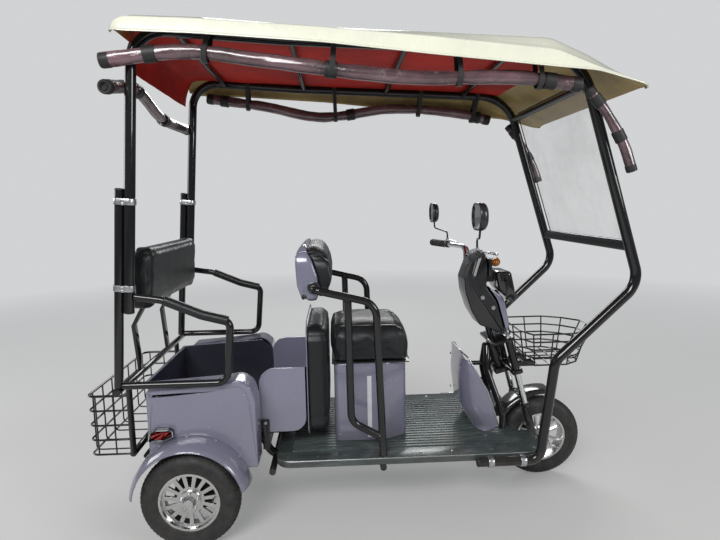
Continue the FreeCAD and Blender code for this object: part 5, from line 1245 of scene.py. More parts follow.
def rolled_sheet(name, knots, radius, ties, seed, turns=3.2):
    """A soft sheet rolled up, pinched at its ties and slack between them; returns it and its cut size."""
    line = smooth_line(knots, 0.012)
    frames = frames_on(line)
    lengths = [0.0]
    for a, b in zip(line, line[1:]):
        lengths.append(lengths[-1] + (b - a).length)
    total = lengths[-1]
    tied = [min(range(len(line)), key=lambda i: (line[i] - tie).length) for tie in ties]
    per_turn = 30
    count = round(turns * per_turn) + 1
    inner = 0.30
    rings = []
    for i, (spot, (_, side, up)) in enumerate(zip(line, frames)):
        along = lengths[i]
        pinch = max([math.exp(-((along - lengths[k]) / 0.030) ** 2) for k in tied] or [0])
        ends = max(math.exp(-(along / 0.012) ** 2), math.exp(-((total - along) / 0.012) ** 2))
        swell = 0.955 + 0.045 * noise.noise(Vector((along * 9, seed, 0.2)))
        ring = []
        for k in range(count):
            share = k / (count - 1)
            angle = 2 * math.pi * turns * share + 0.9 * noise.noise(Vector((along * 3.1, seed + 7, 0)))
            wave = noise.noise(Vector((along * 13 + seed * 3, math.cos(angle) * 1.5, math.sin(angle) * 1.5)))
            fold = noise.noise(Vector((along * 40, math.cos(angle) * 2.4, math.sin(angle) * 2.4 + seed)))
            loose = (0.075 * wave + 0.045 * fold) * (1 - 0.8 * pinch) * (0.35 + 0.65 * share)
            size = (radius * (inner + (1 - inner) * share) * (swell + loose)
                    * (1 - 0.13 * pinch) * (1 - 0.05 * ends))
            size = min(size, radius * 1.03)
            flat = 1.0 - 0.06 * (1 - pinch)
            ring.append(spot + side * (size * math.cos(angle) * flat) + up * (size * math.sin(angle)))
        rings.append(ring)
    piece = swept(name, rings, "curtain_sheet")
    outward = 0
    for face in list(piece.data.polygons)[::37]:
        core = line[min(len(line) - 1, face.index // (count - 1))]
        outward += 1 if face.normal.dot(Vector(face.center) - core) > 0 else -1
    if outward < 0:
        piece.data.flip_normals()
    area = sum(face.area for face in piece.data.polygons)
    return piece, (round(area / total, 3), round(total, 3))


def mouth(place, along, radius):
    """A dark moulded cap on the end of a roll."""
    rows = [(0.0, 0.14), (0.55, 0.14), (0.62, 0.30), (0.86, 0.32), (0.98, 0.2), (1.02, 0.0), (1.02, -0.95),
            (0.96, -1.0), (0.0, -1.0)]
    return spun("Mouth", rows, radius, "black_shell", 32, place, along)


class TricycleCurtains(Step, bpy.types.Operator):
    """Rain curtains rolled under the roof's edges, their straps and end caps"""

    bl_idname = "tricycle.curtains"
    bl_label = "Curtains and straps"

    def make(self, context):
        straps = []
        ties = {}
        for side, rows in ((-1, NEAR_ROLL), (1, FAR_ROLL)):
            ties[side] = []
            for place in STRAP_PLACES:
                end = (-112, 1862) if place < 402 else (1436, 1777)
                fall = (end[1] - 1824) / (end[0] - 402)
                rail = Vector((place, side * HOOP_OUT, 1824 + fall * (place - 402)))
                height, slope = height_on(rows, place)
                axis = (Vector((1, 0, fall)).normalized() + Vector((1, 0, slope)).normalized()).normalized()
                level = place + (rail.z - height) * axis.z / (axis.x + slope * axis.z)
                roll = Vector((level, side * 434, height + slope * (level - place)))
                ties[side].append(at(*roll))
                straps.append(banded("Strap", at(*rail), at(*roll), 0.0199, 0.0279, 0.018, 0.002, axis,
                                     "woven_tape"))
        settle(join(straps, "CurtainStraps"), "chassis", ["curtain_straps"])
        caps, wraps, rolls = [], [], []
        aside = 425.3
        plans = [
            ("RightCurtain", [at(x, -434, z) for x, z in NEAR_ROLL], 0.027, ties[-1], 1.3),
            ("LeftCurtain", [at(x, 434, z) for x, z in FAR_ROLL], 0.027, ties[1], 4.1),
            ("RearCurtain", [at(-173.8, y, z) for y, z in REAR_ROLL], 0.025,
             [at(-173.8, y, z) for y, z in ((-202, 1692), (72, 1646))], 6.7),
            ("FrontRightCurtain", [at(x, -aside, z) for x, z in FRONT_ROLL], 0.020, [at(1527, -aside, 1551)],
             8.2),
            ("FrontLeftCurtain", [at(x, aside, z) for x, z in FRONT_ROLL], 0.020, [at(1527, aside, 1551)],
             9.9)]
        for name, knots, radius, held, seed in plans:
            piece, flat = rolled_sheet(name, knots, radius, held, seed)
            settle(piece, "chassis", sharp=0)
            rolls.append((piece, flat))
            for end, inner in ((knots[0], knots[1]), (knots[-1], knots[-2])):
                out = (end - inner).normalized()
                caps.append(mouth(end - out * (radius * 0.30), out, radius * 0.93))
        settle(rolls[0][0], "chassis", ["rolled_curtains"], 0)
        settle(join(caps, "CurtainCaps"), "chassis", sharp=30)
        for knots, radius, shares in ((plans[0][1], 0.027, (0.10, 0.47, 0.93)),
                                      (plans[1][1], 0.027, (0.06, 0.5, 0.95)),
                                      (plans[2][1], 0.025, (0.30, 0.62)), (plans[3][1], 0.020, (0.16, 0.60)),
                                      (plans[4][1], 0.020, (0.16, 0.60))):
            line = smooth_line(knots, 0.004)
            for share in shares:
                i = round(share * (len(line) - 1))
                axis = (line[i + 1] - line[i - 1]).normalized()
                rows = [(0.96, -0.020), (1.035, -0.0195), (1.045, -0.012), (1.035, 0.0), (1.045, 0.012),
                        (1.035, 0.0195), (0.96, 0.020)]
                wrap = turned_shape("Wrap", [(r * radius, h) for r, h in rows], "black_shell", 32)
                wraps.append(aimed(wrap, line[i], axis))
        settle(join(wraps, "CurtainWraps"), "chassis", sharp=30)


def arc(centre_z, radius, start, end, steps, centre_x=0.0):
    return [(centre_x + radius * math.cos(math.radians(start + (end - start) * k / steps)),
             centre_z + radius * math.sin(math.radians(start + (end - start) * k / steps)))
            for k in range(steps + 1)]


class TricycleFlanks(Step, bpy.types.Operator):
    """Side panels with a raised border and groove, and the tail lamps"""

    bl_idname = "tricycle.flanks"
    bl_label = "Side panels and tail lamps"

    def make(self, context):
        top = rounded_outline([(-160, 330), (-160, 587), (118, 608), (190, 620), (229, 586), (245, 530),
                               (245, 273), (199, 273)], [0, 14, 300, 60, 46, 90, 6, 0], 7)
        outline = top + arc(AXLE_HEIGHT, 205, 26.2, 135.8, 28)

        def place(a, b, depth):
            if math.hypot(a, b - AXLE_HEIGHT) < 212:
                depth = max(depth, -5)
            return at(a, -370 - depth, b)

        steps = ((0, -103), (0, -8), (0.8, -4.5), (2.4, -1.8), (5.0, -0.3), (8, 0), (19, 0), (20.5, -1.8),
                 (23.5, -1.8), (25, 0), (28, 0))

        def inner(shape, distance):
            """Inset the upper edges fully, and the legs and the arch no more than a rounded rim."""
            moved = []
            for (a, b), (c, d) in zip(shape, inset_outline(shape, distance)):
                share = min(1, max(0, (b - 400) / 60))
                rim = min(distance, 3.0) / distance if distance else 0
                share = max(share, rim)
                moved.append((a + (c - a) * share, b + (d - b) * share))
            return moved

        panel = stepped_panel("SidePanel", outline, steps, place, "lilac_panel", False, inner)
        add_modifier(panel, "SOLIDIFY", thickness=0.0035, offset=-1, use_even_offset=False)
        bake(panel)
        pair = join([panel, mirrored_piece(panel, "SidePanelLeft")], "SidePanels")
        settle(pair, "chassis", ["side_panels"], 50)
        places = []
        for side in (-1, 1):
            for x, z in ((-118, 566), (36, 572), (205, 560), (-52, 452), (66, 440)):
                places.append((at(x, side * 367.6, z), (0, side, 0)))
        fasten("PanelBolts", button_shape(0.0045, 0.0028), places)
        shape = rounded_outline([(-152, 400), (-146, 432), (-124, 446), (-78, 446), (-62, 436), (-62, 418),
                                 (-100, 400)], [4, 6, 6, 6, 5, 5, 6], 4)

        def lamp_place(a, b, depth):
            return at(a, -370.3 - depth, b)

        steps = ((0, 0), (0, 17), (1.5, 20.5), (4, 23), (6, 23.6), (7, 22.0))
        housing = stepped_panel("Housing", shape, steps, lamp_place, "dark_housing")
        lens = stepped_panel("Lens", inset_outline(shape, 7.5), ((0, 21.0), (0.3, 23.0), (2.0, 23.9)),
                             lamp_place, "red_lens")
        rim = tubes("Rim", [[(lamp_place(a, b, 22.2), 0)
                             for a, b in shape] + [(lamp_place(*shape[0], 22.2), 0)]],
                    1.7, "chrome_plate", sides=8, steps=1)
        lamp = join([housing, lens, rim], "TailLampRight")
        twin = mirrored_piece(lamp, "TailLampLeft")
        settle(join([lamp, twin], "TailLamps"), "chassis", ["tail_lamps"], 40)


class TricycleFenders(Step, bpy.types.Operator):
    """Arched fenders over the rear wheels"""

    bl_idname = "tricycle.fenders"
    bl_label = "Rear fenders"

    def make(self, context):
        outside = [(226, 370.4), (226, 390), (225.3, 408), (223.4, 426), (219.8, 442), (214.0, 455),
                   (207.5, 463.5), (203.0, 467.2), (201.0, 467.8)]
        inside = [(199.8, 466.0), (201.0, 462.5), (206.5, 457), (212.0, 449), (216.5, 437), (219.5, 423),
                  (221.6, 405), (222, 388), (222, 370.4)]
        fenders = []
        for name, side in SIDES:
            profile = [(radius, side * wide) for radius, wide in outside + inside]
            fender = wheel_turned("Fender" + name, profile, at(0, 0, AXLE_HEIGHT), "lilac_panel", 72, 12, 161)
            add_modifier(fender, "BEVEL", width=0.0016, segments=2, limit_method="ANGLE",
                         angle_limit=math.radians(50))
            bake(fender)
            lip = [at(202.6 * math.cos(math.radians(t)), side * 466.4,
                      AXLE_HEIGHT + 202.6 * math.sin(math.radians(t)))
                   for t in np.linspace(12.4, 172.6, 60)]
            fenders += [fender, tubes("Lip", [[(spot, 0) for spot in lip]], 1.9, "lilac_panel", sides=8,
                                      steps=1)]
        settle(join(fenders, "RearFenders"), "chassis", ["rear_fenders"], 45)
        places = []
        for side in (-1, 1):
            for turn in (38, 66, 94, 122, 150):
                angle = math.radians(turn)
                places.append((at(226.2 * math.cos(angle), side * 378, AXLE_HEIGHT + 226.2 * math.sin(angle)),
                               (math.cos(angle), 0, math.sin(angle))))
        fasten("FenderScrews", button_shape(0.004, 0.0022), places)


class TricycleTub(Step, bpy.types.Operator):
    """Rear load tub with its beaded rim and pressed floor, its inside painted darker for shade, and the rod
    rack behind it
    """

    bl_idname = "tricycle.tub"
    bl_label = "Tub and rack"

    def make(self, context):
        tub = rounded_copy("rear_tub", "RearTub", "lilac_panel", 0.0035, 4)
        # the inner walls and floor take the darker material: painted shade inside the deep tub
        tub.data.materials.append(MADE["dark_inside"])
        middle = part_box("rear_tub")[0].lerp(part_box("rear_tub")[1], 0.5)
        for face in tub.data.polygons:
            inward = (middle - face.center) * Vector((1, 1, 0))
            if face.normal.dot(inward) > 0.02 or (face.normal.z > 0.7 and face.center.z < middle.z):
                face.material_index = 1
        settle(tub, "chassis", ["rear_tub"])
        ribs = [block("TubRib", (-150, y - 9, 359.8), (195, y + 9, 363.4), "lilac_panel", 1.5)
                for y in (-180, -108, -36, 36, 108, 180)]
        settle(join(ribs, "TubRibs"), "chassis")
        start, tail = -259.3, -408
        levels = [548 + (313 - 548) * i / 4 for i in range(5)]
        top = tubes("RackTop", [path([(start, -300, 548), (tail, -300, 548), (tail, 300, 548),
                                      (start, 300, 548)],
                                     [30, 30])], 5, "black_enamel", sides=14)
        rails = tubes("RackRails", [path([(start, -300, z), (tail, -300, z), (tail, 300, z),
                                          (start, 300, z)], [30, 30])
                                    for z in levels[1:]], 4, "black_enamel", sides=12)
        wires = []
        for k in range(7):
            side = -260 + 260 * 2 * k / 6
            wires.append(path([(tail + 5, side, 546), (tail + 5, side, 316), (start, side, 316)], [18]))
        slim = tubes("RackWires", wires, 3, "black_enamel", sides=10)
        uprights = rods("RackUprights", [((start + (tail - start) * share, side * 296.5, 313),
                                          (start + (tail - start) * share, side * 296.5, 548))
                                         for side in (-1, 1) for share in (0.35, 0.8)], 3, "black_enamel", 10)
        settle(join([top, rails, slim, uprights], "RearRack"), "chassis", ["rear_rack"])


class TricycleDeck(Step, bpy.types.Operator):
    """Ribbed floor with its bright edge"""

    bl_idname = "tricycle.deck"
    bl_label = "Floor"

    def make(self, context):
        half = [(1390, -132), (1390, -330), (305, -330)]
        corners = [(305, 330), (1390, 330), (1390, 132), (1326, 132), (1326, 84), (1268, 84), (1268, -84),
                   (1326, -84), (1326, -132)] + half
        outline = rounded_outline(corners, [60, 60, 5, 8, 8, 14, 14, 8, 8, 5, 60, 60], 8)

        def place(a, b, depth):
            return at(a, b, depth)

        steps = ((2, 240), (0, 242), (0, 252), (1.2, 253), (1.2, 256), (0, 257), (0, 266), (1.2, 269),
                 (3.5, 270.0))
        board = stepped_panel("FloorBoard", outline, steps, place, "ribbed_sheet")
        rib = [(-9.5, 0), (-9.0, 3.4), (-7.2, 4.8), (-4.2, 5.0), (-3.2, 3.9), (-2.2, 5.0), (2.2, 5.0),
               (3.2, 3.9), (4.2, 5.0), (7.2, 4.8), (9.0, 3.4), (9.5, 0)]
        shape = slab("Rib", [(y, z) for y, z in rib], 365, 1260, "YZ", "ribbed_sheet")
        shape.data.transform(Matrix.Translation(at(0, 0, 269.6) - at(0, 0, 0)))
        base = new_piece("FloorRibs", [(0, 0, 0)], [], "ribbed_sheet")
        ribs = run_group(base, "side_by_side", Shape=shape, Count=21, Pitch=0.024,
                         Finish=MADE["ribbed_sheet"])
        hidden(shape)
        floor = join([board, ribs], "FloorDeck")
        settle(floor, "chassis", ["floor_deck"], 30)
        edge = tubes("FloorEdge", [path([(1389, 132, 266.5), (1389, 329, 266.5), (306, 329, 266.5),
                                         (306, -329, 266.5), (1389, -329, 266.5), (1389, -132, 266.5)],
                                        [60] * 4)],
                     2.4, "zinc_plate", sides=10)
        settle(edge, "chassis")
        places = [(at(x, side * 296, 269.4), (0, 0, 1)) for side in (-1, 1)
                  for x in (350, 470, 880, 1010, 1170, 1345)]
        fasten("FloorScrews", button_shape(0.0065, 0.0026), places)


def row_group():
    """Copies of a shape side by side across the middle plane."""
    tree, given = group("side_by_side", (
        ("Base", "Geometry"), ("Shape", "Object"), ("Count", "Int"), ("Pitch", "Float"),
                                         ("Finish", "Material")))
    last = put(tree, "ShaderNodeMath", {"operation": "SUBTRACT"}, i0=given["Count"], i1=1.0).outputs[0]
    reach = put(tree, "ShaderNodeMath", {"operation": "MULTIPLY"}, i0=last, i1=given["Pitch"]).outputs[0]
    start = put(tree, "ShaderNodeMath", {"operation": "MULTIPLY"}, i0=reach, i1=-0.5).outputs[0]
    line = put(tree, "GeometryNodeMeshLine", Count=given["Count"],
               Start_Location=put(tree, "ShaderNodeCombineXYZ", Y=start).outputs[0],
               Offset=put(tree, "ShaderNodeCombineXYZ", Y=given["Pitch"]).outputs[0]).outputs[0]
    shape = put(tree, "GeometryNodeObjectInfo", Object=given["Shape"], As_Instance=True).outputs["Geometry"]
    copies = put(tree, "GeometryNodeInstanceOnPoints", Points=line, Instance=shape).outputs[0]
    close_group(tree, copies, given["Finish"])


class TricycleLocker(Step, bpy.types.Operator):
    """The driver's locker with its hinge, stripe and rivets, its lid, and the battery inside"""

    bl_idname = "tricycle.locker"
    bl_label = "Locker and lid"

    def make(self, context):
        outline = rounded_outline([(540, -LOCKER_HALF), (755, -LOCKER_HALF), (845, -140), (845, 140),
                                   (755, LOCKER_HALF), (540, LOCKER_HALF)],
                                  [26, 60, 34, 34, 60, 26], 8)
        steps = ((6, 275.4), (2, 277), (0, 282), (0, 561), (0.6, 563), (2.6, 564), (2.6, 568), (0.6, 569),
                 (0, 571), (0, 604), (1.2, 608.5), (3, 610), (4.5, 608), (4.5, 281))
        box = stepped_panel("Locker", outline, steps, at, "lilac_panel")
        parts = [box]
        for side in (-1, 1):
            parts.append(rods("Barrel", [((856, side * 60, 602), (856, side * 100, 602))], 7, "black_enamel",
                              16))
            parts.append(block("Arm", (843, min(side * 60, side * 100), 595),
                               (856, max(side * 60, side * 100), 602),
                               "black_enamel", 0.8))
        parts.append(rods("Pin", [((856, -62, 602), (856, 62, 602))], 3, "black_enamel", 12))
        settle(join(parts, "Locker"), "chassis", ["seat_box"], 40)
        stripes = []
        for side in (-1, 1):
            stripes.append(block("Stripe", (676, side * (LOCKER_HALF + 0.4) - 0.5, 290),
                                 (694, side * (LOCKER_HALF + 0.4) + 0.5, 556),
                                 "pale_stripe", 0.3))
        settle(join(stripes, "LockerStripes"), "chassis")
        places = [(at(x, side * LOCKER_HALF, 305), (0, side, 0)) for side in (-1, 1) for x in (560, 725, 733)]
        places += [(at(845, y, 312), (1, 0, 0)) for y in (-100, 0, 100)]
        fasten("LockerRivets", button_shape(0.0035, 0.002), places)
        stand_in("seat_lid", "LockerLid", "seat_lid", "black_moulding", 1.0)
        stand_in("battery_pack", "BatteryPack", "chassis", "black_moulding", 4.0)


def soft_block(name, node, shrink, cell, shape=None):
    """A remeshed copy of a packed pad or shape, ready to swell; returns it with its smaller start points."""
    piece = shape or welded_copy(node, name, "seat_vinyl")
    add_modifier(piece, "REMESH", mode="VOXEL", voxel_size=cell, use_smooth_shade=True)
    bake(piece)
    piece.data.materials.clear()
    piece.data.materials.append(MADE["seat_vinyl"])
    add_modifier(piece, "SMOOTH", factor=0.5, iterations=6)
    bake(piece)
    points = read_points(piece)
    normals = read_normals(piece)
    return piece, points - normals * shrink


def ease_corners(points, axes, low, high, radii):
    """Round a cover's corners as seen along one axis. The radii, in millimetres, go round from the low, low
    corner; a pair gives an oval corner."""
    u, v = axes
    for (way_u, way_v), radius in zip(((-1, -1), (1, -1), (1, 1), (-1, 1)), radii):
        if not radius:
            continue
        wide, tall = radius if isinstance(radius, tuple) else (radius, radius)
        start_u = high[u] - wide / 1000 if way_u > 0 else low[u] + wide / 1000
        start_v = high[v] - tall / 1000 if way_v > 0 else low[v] + tall / 1000
        out_u, out_v = way_u * (points[:, u] - start_u), way_v * (points[:, v] - start_v)
        near = (out_u > 0) & (out_v > 0)
        out_u, out_v = out_u[near], out_v[near]
        flat_u, flat_v = out_u / wide, out_v / tall
        share = np.maximum(flat_u, flat_v) / np.maximum(np.hypot(flat_u, flat_v), 1e-9)
        points[near, u] = start_u + way_u * out_u * share
        points[near, v] = start_v + way_v * out_v * share
    return points


def read_points(piece):
    flat = np.empty(len(piece.data.vertices) * 3)
    piece.data.vertices.foreach_get("co", flat)
    return flat.reshape(-1, 3)


def read_normals(piece):
    flat = np.empty(len(piece.data.vertices) * 3)
    piece.data.vertices.foreach_get("normal", flat)
    return flat.reshape(-1, 3)


def write_points(piece, points):
    piece.data.vertices.foreach_set("co", np.asarray(points, float).ravel())
    piece.data.update()


def swell(piece, cap):
    """Blow the cover up with the cloth solver and limit how far any point moves."""
    start = read_points(piece)
    cloth = piece.modifiers.new("Cover", "CLOTH")
    cloth.settings.use_pressure = True
    cloth.settings.uniform_pressure_force = 4.0
    cloth.settings.quality = 5
    cloth.settings.tension_stiffness = 12
    cloth.settings.bending_stiffness = 1.2
    cloth.settings.effector_weights.gravity = 0
    cloth.collision_settings.use_collision = False
    scene = bpy.context.scene
    scene.frame_start, scene.frame_end = 1, 20
    for number in range(1, 21):
        scene.frame_set(number)
    graph = bpy.context.evaluated_depsgraph_get()
    moved = read_points(piece.evaluated_get(graph))
    piece.modifiers.clear()
    scene.frame_set(1)
    step = moved - start
    length = np.linalg.norm(step, axis=1, keepdims=True)
    step *= np.minimum(1, cap / np.maximum(length, 1e-9))
    write_points(piece, start + step)


def press(points, normals, lines, depth, width, axes):
    """Sink sewn channels into a cover along straight lines given in two of its axes."""
    flat = points[:, list(axes)]
    sunk = np.zeros(len(points))
    for a, b in lines:
        a, b = np.array(a), np.array(b)
        along = b - a
        share = np.clip(((flat - a) @ along) / (along @ along), 0, 1)
        gap = np.linalg.norm(flat - (a + share[:, None] * along), axis=1)
        sunk = np.maximum(sunk, np.exp(-(gap / width) ** 2))
    return points - normals * (depth * sunk)[:, None]


# Seats
def cushion(name, node, cap, rounding=(), shrink=0.007, shape=None):
    """A padded cover that starts small, with its corners rounded, and is blown up by the cloth solver."""
    piece, start = soft_block(name, node, shrink, sizes().cushion_cell, shape)
    low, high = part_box(node)
    for axes, radii in rounding:
        ease_corners(start, axes, low, high, radii)
    write_points(piece, start)
    swell(piece, cap)
    return piece


def sew(piece, channels, depth, width, axes):
    """Sink channels into a cover along straight lines given in vehicle millimetres on two of its axes."""
    def place(pair):
        whole = [0, 0, 0]
        whole[axes[0]], whole[axes[1]] = pair
        point = at(*whole)
        return (point[axes[0]], point[axes[1]])

    lines = [(place(a), place(b)) for a, b in channels]
    write_points(piece, press(read_points(piece), read_normals(piece), lines, depth, width, axes))


def finish_cushion(piece, body, node):
    add_modifier(piece, "SMOOTH", factor=0.5, iterations=5)
    add_modifier(piece, "SUBSURF", levels=1, render_levels=1)
    bake(piece)
    settle(piece, body, [node], 0)


class TricyclePassengerRest(Step, bpy.types.Operator):
    """The passengers' backrest and the padded sleeves on the armrests"""

    bl_idname = "tricycle.passenger_rest"
    bl_label = "Passengers' backrest"

    def make(self, context):
        piece = cushion("RearBackrest", "rear_backrest", 0.011,
                        (((1, 2), (55, 55, 66, 66)), ((0, 1), (14, 26, 26, 14))))
        sew(piece, [((-335, 905), (335, 905)), ((-335, 1095), (335, 1095))], 0.004, 0.006, (1, 2))
        finish_cushion(piece, "chassis", "rear_backrest")
        arm = path([(-60, -HOOP_OUT, 930), (70, -HOOP_OUT, 874), (160, -HOOP_OUT, 850)], [120])
        core = tubes("ArmPads", [arm, flipped(arm)], 18, "seat_vinyl", steps=14)
        ends = []
        for side in (-1, 1):
            ends.append(weld(at(-60, side * HOOP_OUT, 930), (-1, 0, 0.42), 0.0135, "seat_vinyl"))
            ends.append(weld(at(160, side * HOOP_OUT, 850), (1, 0, -0.26), 0.0135, "seat_vinyl"))
        pads = join([core] + ends, "ArmPads")
        settle(pads, "chassis")


class TricycleDriverRest(Step, bpy.types.Operator):
    """The driver's backrest: its moulded shell with round bosses and small dark discs that paint the shade of
    its hollows, and the padded face
    """

    bl_idname = "tricycle.driver_rest"
    bl_label = "Driver's backrest"

    def make(self, context):
        outline = rounded_outline([(452, 888), (420, 906), (405, 950), (402, 1006), (400, 1071), (414, 1096),
                                   (440, 1112), (466, 1046), (485, 988), (490, 925), (482, 890)],
                                  [20, 22, 60, 80, 30, 16, 8, 80, 70, 50, 12], 5)
        shell = loaf("DriverShell", outline, REST_HALF, "lilac_panel", 7)
        add_modifier(shell, "REMESH", mode="VOXEL", voxel_size=0.005, use_smooth_shade=True)
        bake(shell)
        low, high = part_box("driver_backrest_shell")
        write_points(shell, ease_corners(read_points(shell), (1, 2), low, high, (24, 24, 95, 95)))
        add_modifier(shell, "SMOOTH", factor=0.5, iterations=4)
        bake(shell)
        shell.data.materials.clear()
        shell.data.materials.append(MADE["lilac_panel"])
        bosses = []
        for side in (-1, 1):
            boss = turned_shape("Boss", [(0.0146, 0.0), (0.0146, 0.0052), (0.020, 0.0056), (0.024, 0.0036),
                                         (0.0255, -0.006), (0.0146, -0.006)], "black_moulding", 40)
            # a shallow disc in the dark housing finish on each side: painted shade standing for a hollow in
            # the shell
            shade_disc = turned_shape("Recess", [(0, 0.0004), (0.007, 0.0004), (0.009, 0.0014), (0.0105, 0.0010),
                                             (0.011, -0.003), (0, -0.003)], "dark_housing", 28)
            bosses += [aimed(boss, at(470, side * 267.6, 943), (0, side, 0)),
                       aimed(shade_disc, at(432, side * 267.4, 908), (0, side, 0))]
        settle(join([shell] + bosses, "DriverRestShell"), "chassis", ["driver_backrest_shell"],
               40)
        places = [(at(401, y, 1040), (-1, 0, 0)) for y in (-160, 160)]
        fasten("RestScrews", nut_shape(0.0042, 0.0042), places)
        face = rounded_outline([(438, 1106), (462, 1046), (480, 988), (486, 925), (480, 893), (518, 899),
                                (541, 974), (528, 1056),
                                (503, 1100), (468, 1116)], [4, 80, 70, 50, 6, 20, 90, 60, 30, 26], 5)
        piece = cushion("DriverRestPad", "driver_backrest_pad", 0.006, (((1, 2), (24, 24, 90, 90)),), 0.003,
                        shape=loaf("DriverRestPad", face, 259, "seat_vinyl", 10))
        sew(piece, [((-262, 936), (262, 936)), ((-250, 1052), (250, 1052)), ((-170, 890), (-170, 1100)),
                    ((170, 890), (170, 1100))], 0.003, 0.006, (1, 2))
        finish_cushion(piece, "chassis", "driver_backrest_pad")


class TricycleSaddle(Step, bpy.types.Operator):
    """The driver's saddle on the locker's lid"""

    bl_idname = "tricycle.saddle"
    bl_label = "Saddle"

    def make(self, context):
        piece = cushion("DriverCushion", "driver_cushion", 0.008,
                        (((0, 1), (40, 40, 40, 40)), ((1, 2), (8, 8, (130, 66), (130, 66))),
                         ((0, 2), (8, 8, 34, 30))),
                        0.006)
        points = read_points(piece)
        low = at(0, 0, 636).z
        skirt = np.exp(-((points[:, 2] - low) / 0.006) ** 2)
        write_points(piece, points - read_normals(piece) * (0.0045 * skirt)[:, None])
        sew(piece, [((560, -198), (560, 198)), ((810, -198), (810, 198))], 0.003, 0.007, (0, 1))
        finish_cushion(piece, "seat_lid", "driver_cushion")


class TricycleBench(Step, bpy.types.Operator):
    """The tipping bench: its hollow shell with the hinge pins, and its seat pad with lilac piping"""

    bl_idname = "tricycle.bench"
    bl_label = "Tipping bench"

    def make(self, context):
        bend = [(428 - 60 + 60 * math.sin(t), 350 + 60 - 60 * math.cos(t))
                for t in np.linspace(0, math.pi / 2, 9)]
        inner = [(368 + 56 * math.sin(t), 410 - 56 * math.cos(t)) for t in np.linspace(0, math.pi / 2, 9)]
        crown = [(305 - 65 * math.sin(t), 555 + 65 * math.cos(t)) for t in np.linspace(0, math.pi / 2, 9)]
        skin = [(240, 350)] + bend + [(428, 620), (424, 620)] + list(reversed(inner)) + [(240, 354)]
        parts = [slab("Skin", skin, -BENCH_HALF, BENCH_HALF, "XZ", "lilac_panel")]
        cheek = [(240, 350)] + bend + [(428, 620)] + crown
        for side in (-1, 1):
            parts.append(slab("Cheek", cheek, side * BENCH_HALF, side * 239, "XZ", "lilac_panel"))
            parts.append(rods("Pivot", [((262, side * 239, 395), (262, side * 252, 395))], 6, "zinc_plate",
                              20))
        rim = path([(242, -241, 352), (242, -241, 618.5), (426, -241, 618.5), (426, 241, 618.5),
                    (242, 241, 618.5), (242, 241, 352)], [64, 14, 14, 64])
        parts.append(tubes("Rim", [rim], 2.8, "lilac_panel", sides=8, steps=8))
        settle(join(parts, "BenchShell"), "bench", ["bench_shell"], 40)
        piece = cushion("BenchCushion", "bench_cushion", 0.010,
                        (((1, 2), (44, 44, 86, 86)), ((0, 1), (8, 28, 28, 8)), ((0, 2), (8, 26, 36, 20))),
                        0.008)
        sew(piece, [((-BENCH_HALF, 735), (BENCH_HALF, 735)), ((-BENCH_HALF, 400), (BENCH_HALF, 400)),
                    ((-81, 400), (-81, 735)), ((81, 400), (81, 735))], 0.004, 0.007, (1, 2))
        finish_cushion(piece, "bench", "bench_cushion")
        edge = looped([(433, 0, 327), (433, 241, 327), (433, 241, 795), (433, -241, 795), (433, -241, 327)],
                      [42, 84, 84, 42])
        piping = tubes("BenchPiping", [edge], 2.2, "lilac_panel", sides=10, steps=10)
        settle(piping, "bench")


# Front end
def raked(ahead, up, side=0.0):
    """A point in the fork's own frame, in millimetres: ahead of its axis, up along it, and to the side."""
    lean = math.radians(15)
    return at(1285 - up * math.sin(lean) + ahead * math.cos(lean), side,
              525 + up * math.cos(lean) + ahead * math.sin(lean))


def raked_block(name, low, high, material, edge=2.0):
    return block(name, low, high, material, edge, lambda ahead, side, up: raked(ahead, up, side))


class TricycleFork(Step, bpy.types.Operator):
    """Fork with bright stanchions, clamps, black lower legs and the axle"""

    bl_idname = "tricycle.fork"
    bl_label = "Fork"

    def make(self, context):
        def bar(a, b, radius, material):
            return tubes("Bar", [[(a, 0), (b, 0)]], radius, material, sides=28)

        parts = [bar(raked(0, -20), raked(0, 420), 14, "black_enamel"),
                 raked_block("NeckPlate", (-26, -34, -30), (32, 34, -8), "black_enamel", 4),
                 raked_block("LowerCrown", (30, -104, -30), (78, 104, -8), "black_enamel", 6),
                 raked_block("UpperClamp", (-24, -100, 122), (76, 100, 138), "black_enamel", 5),
                 block("BarSeat", (1146, -34, 910), (1196, 34, 923.7), "black_enamel", 2)]
        places = []
        for side in (-1, 1):
            leg = side * LEG_OUT
            parts.append(bar(raked(LEG_AHEAD, 144, leg), raked(LEG_AHEAD, -190, leg), 14, "chrome_plate"))
            parts.append(bar(raked(LEG_AHEAD, 120, leg), raked(LEG_AHEAD, -6, leg), 17, "black_enamel"))
            rows = [(0, 0.0), (0.0168, 0.0), (0.0178, 0.0015), (0.018, 0.012), (0.0172, 0.014),
                    (0.0172, 0.022), (0.018, 0.024), (0.018, 0.219), (0.016, 0.2211), (0, 0.2211)]
            lower = turned_shape("Lower", rows, "black_enamel", 36)
            crown = raked(LEG_AHEAD, -172, leg)
            parts.append(aimed(lower, crown, raked(LEG_AHEAD, -393, leg) - crown))
            parts.append(raked_block("Lug", (55, leg - 9, -396), (119.3, leg + 9, -362), "black_enamel", 6))
            parts.append(rods("Spacer", [((FRONT_AXLE, side * 34.5, AXLE_HEIGHT),
                                          (FRONT_AXLE, side * 75, AXLE_HEIGHT))], 16, "zinc_plate", 28))
            parts.append(block("BasketArm", (1352, side * 52 - 6, 532), (1435, side * 52 + 6, 558.2),
                               "black_enamel", 2))
            parts.append(aimed(nut_shape(0.0125, 0.0095), at(FRONT_AXLE, side * 86, AXLE_HEIGHT),
                               (0, side, 0)))
            top = raked(LEG_AHEAD, 144, leg)
            places.append((top, raked(LEG_AHEAD, 244, leg) - top))
        parts.append(rods("Axle", [((FRONT_AXLE, -94, AXLE_HEIGHT), (FRONT_AXLE, 94, AXLE_HEIGHT))], 10,
                          "zinc_plate", 24))
        settle(join(parts, "Fork"), "steering", ["fork"], 40)
        fasten("ForkCaps", nut_shape(0.009, 0.009), places, "steering")


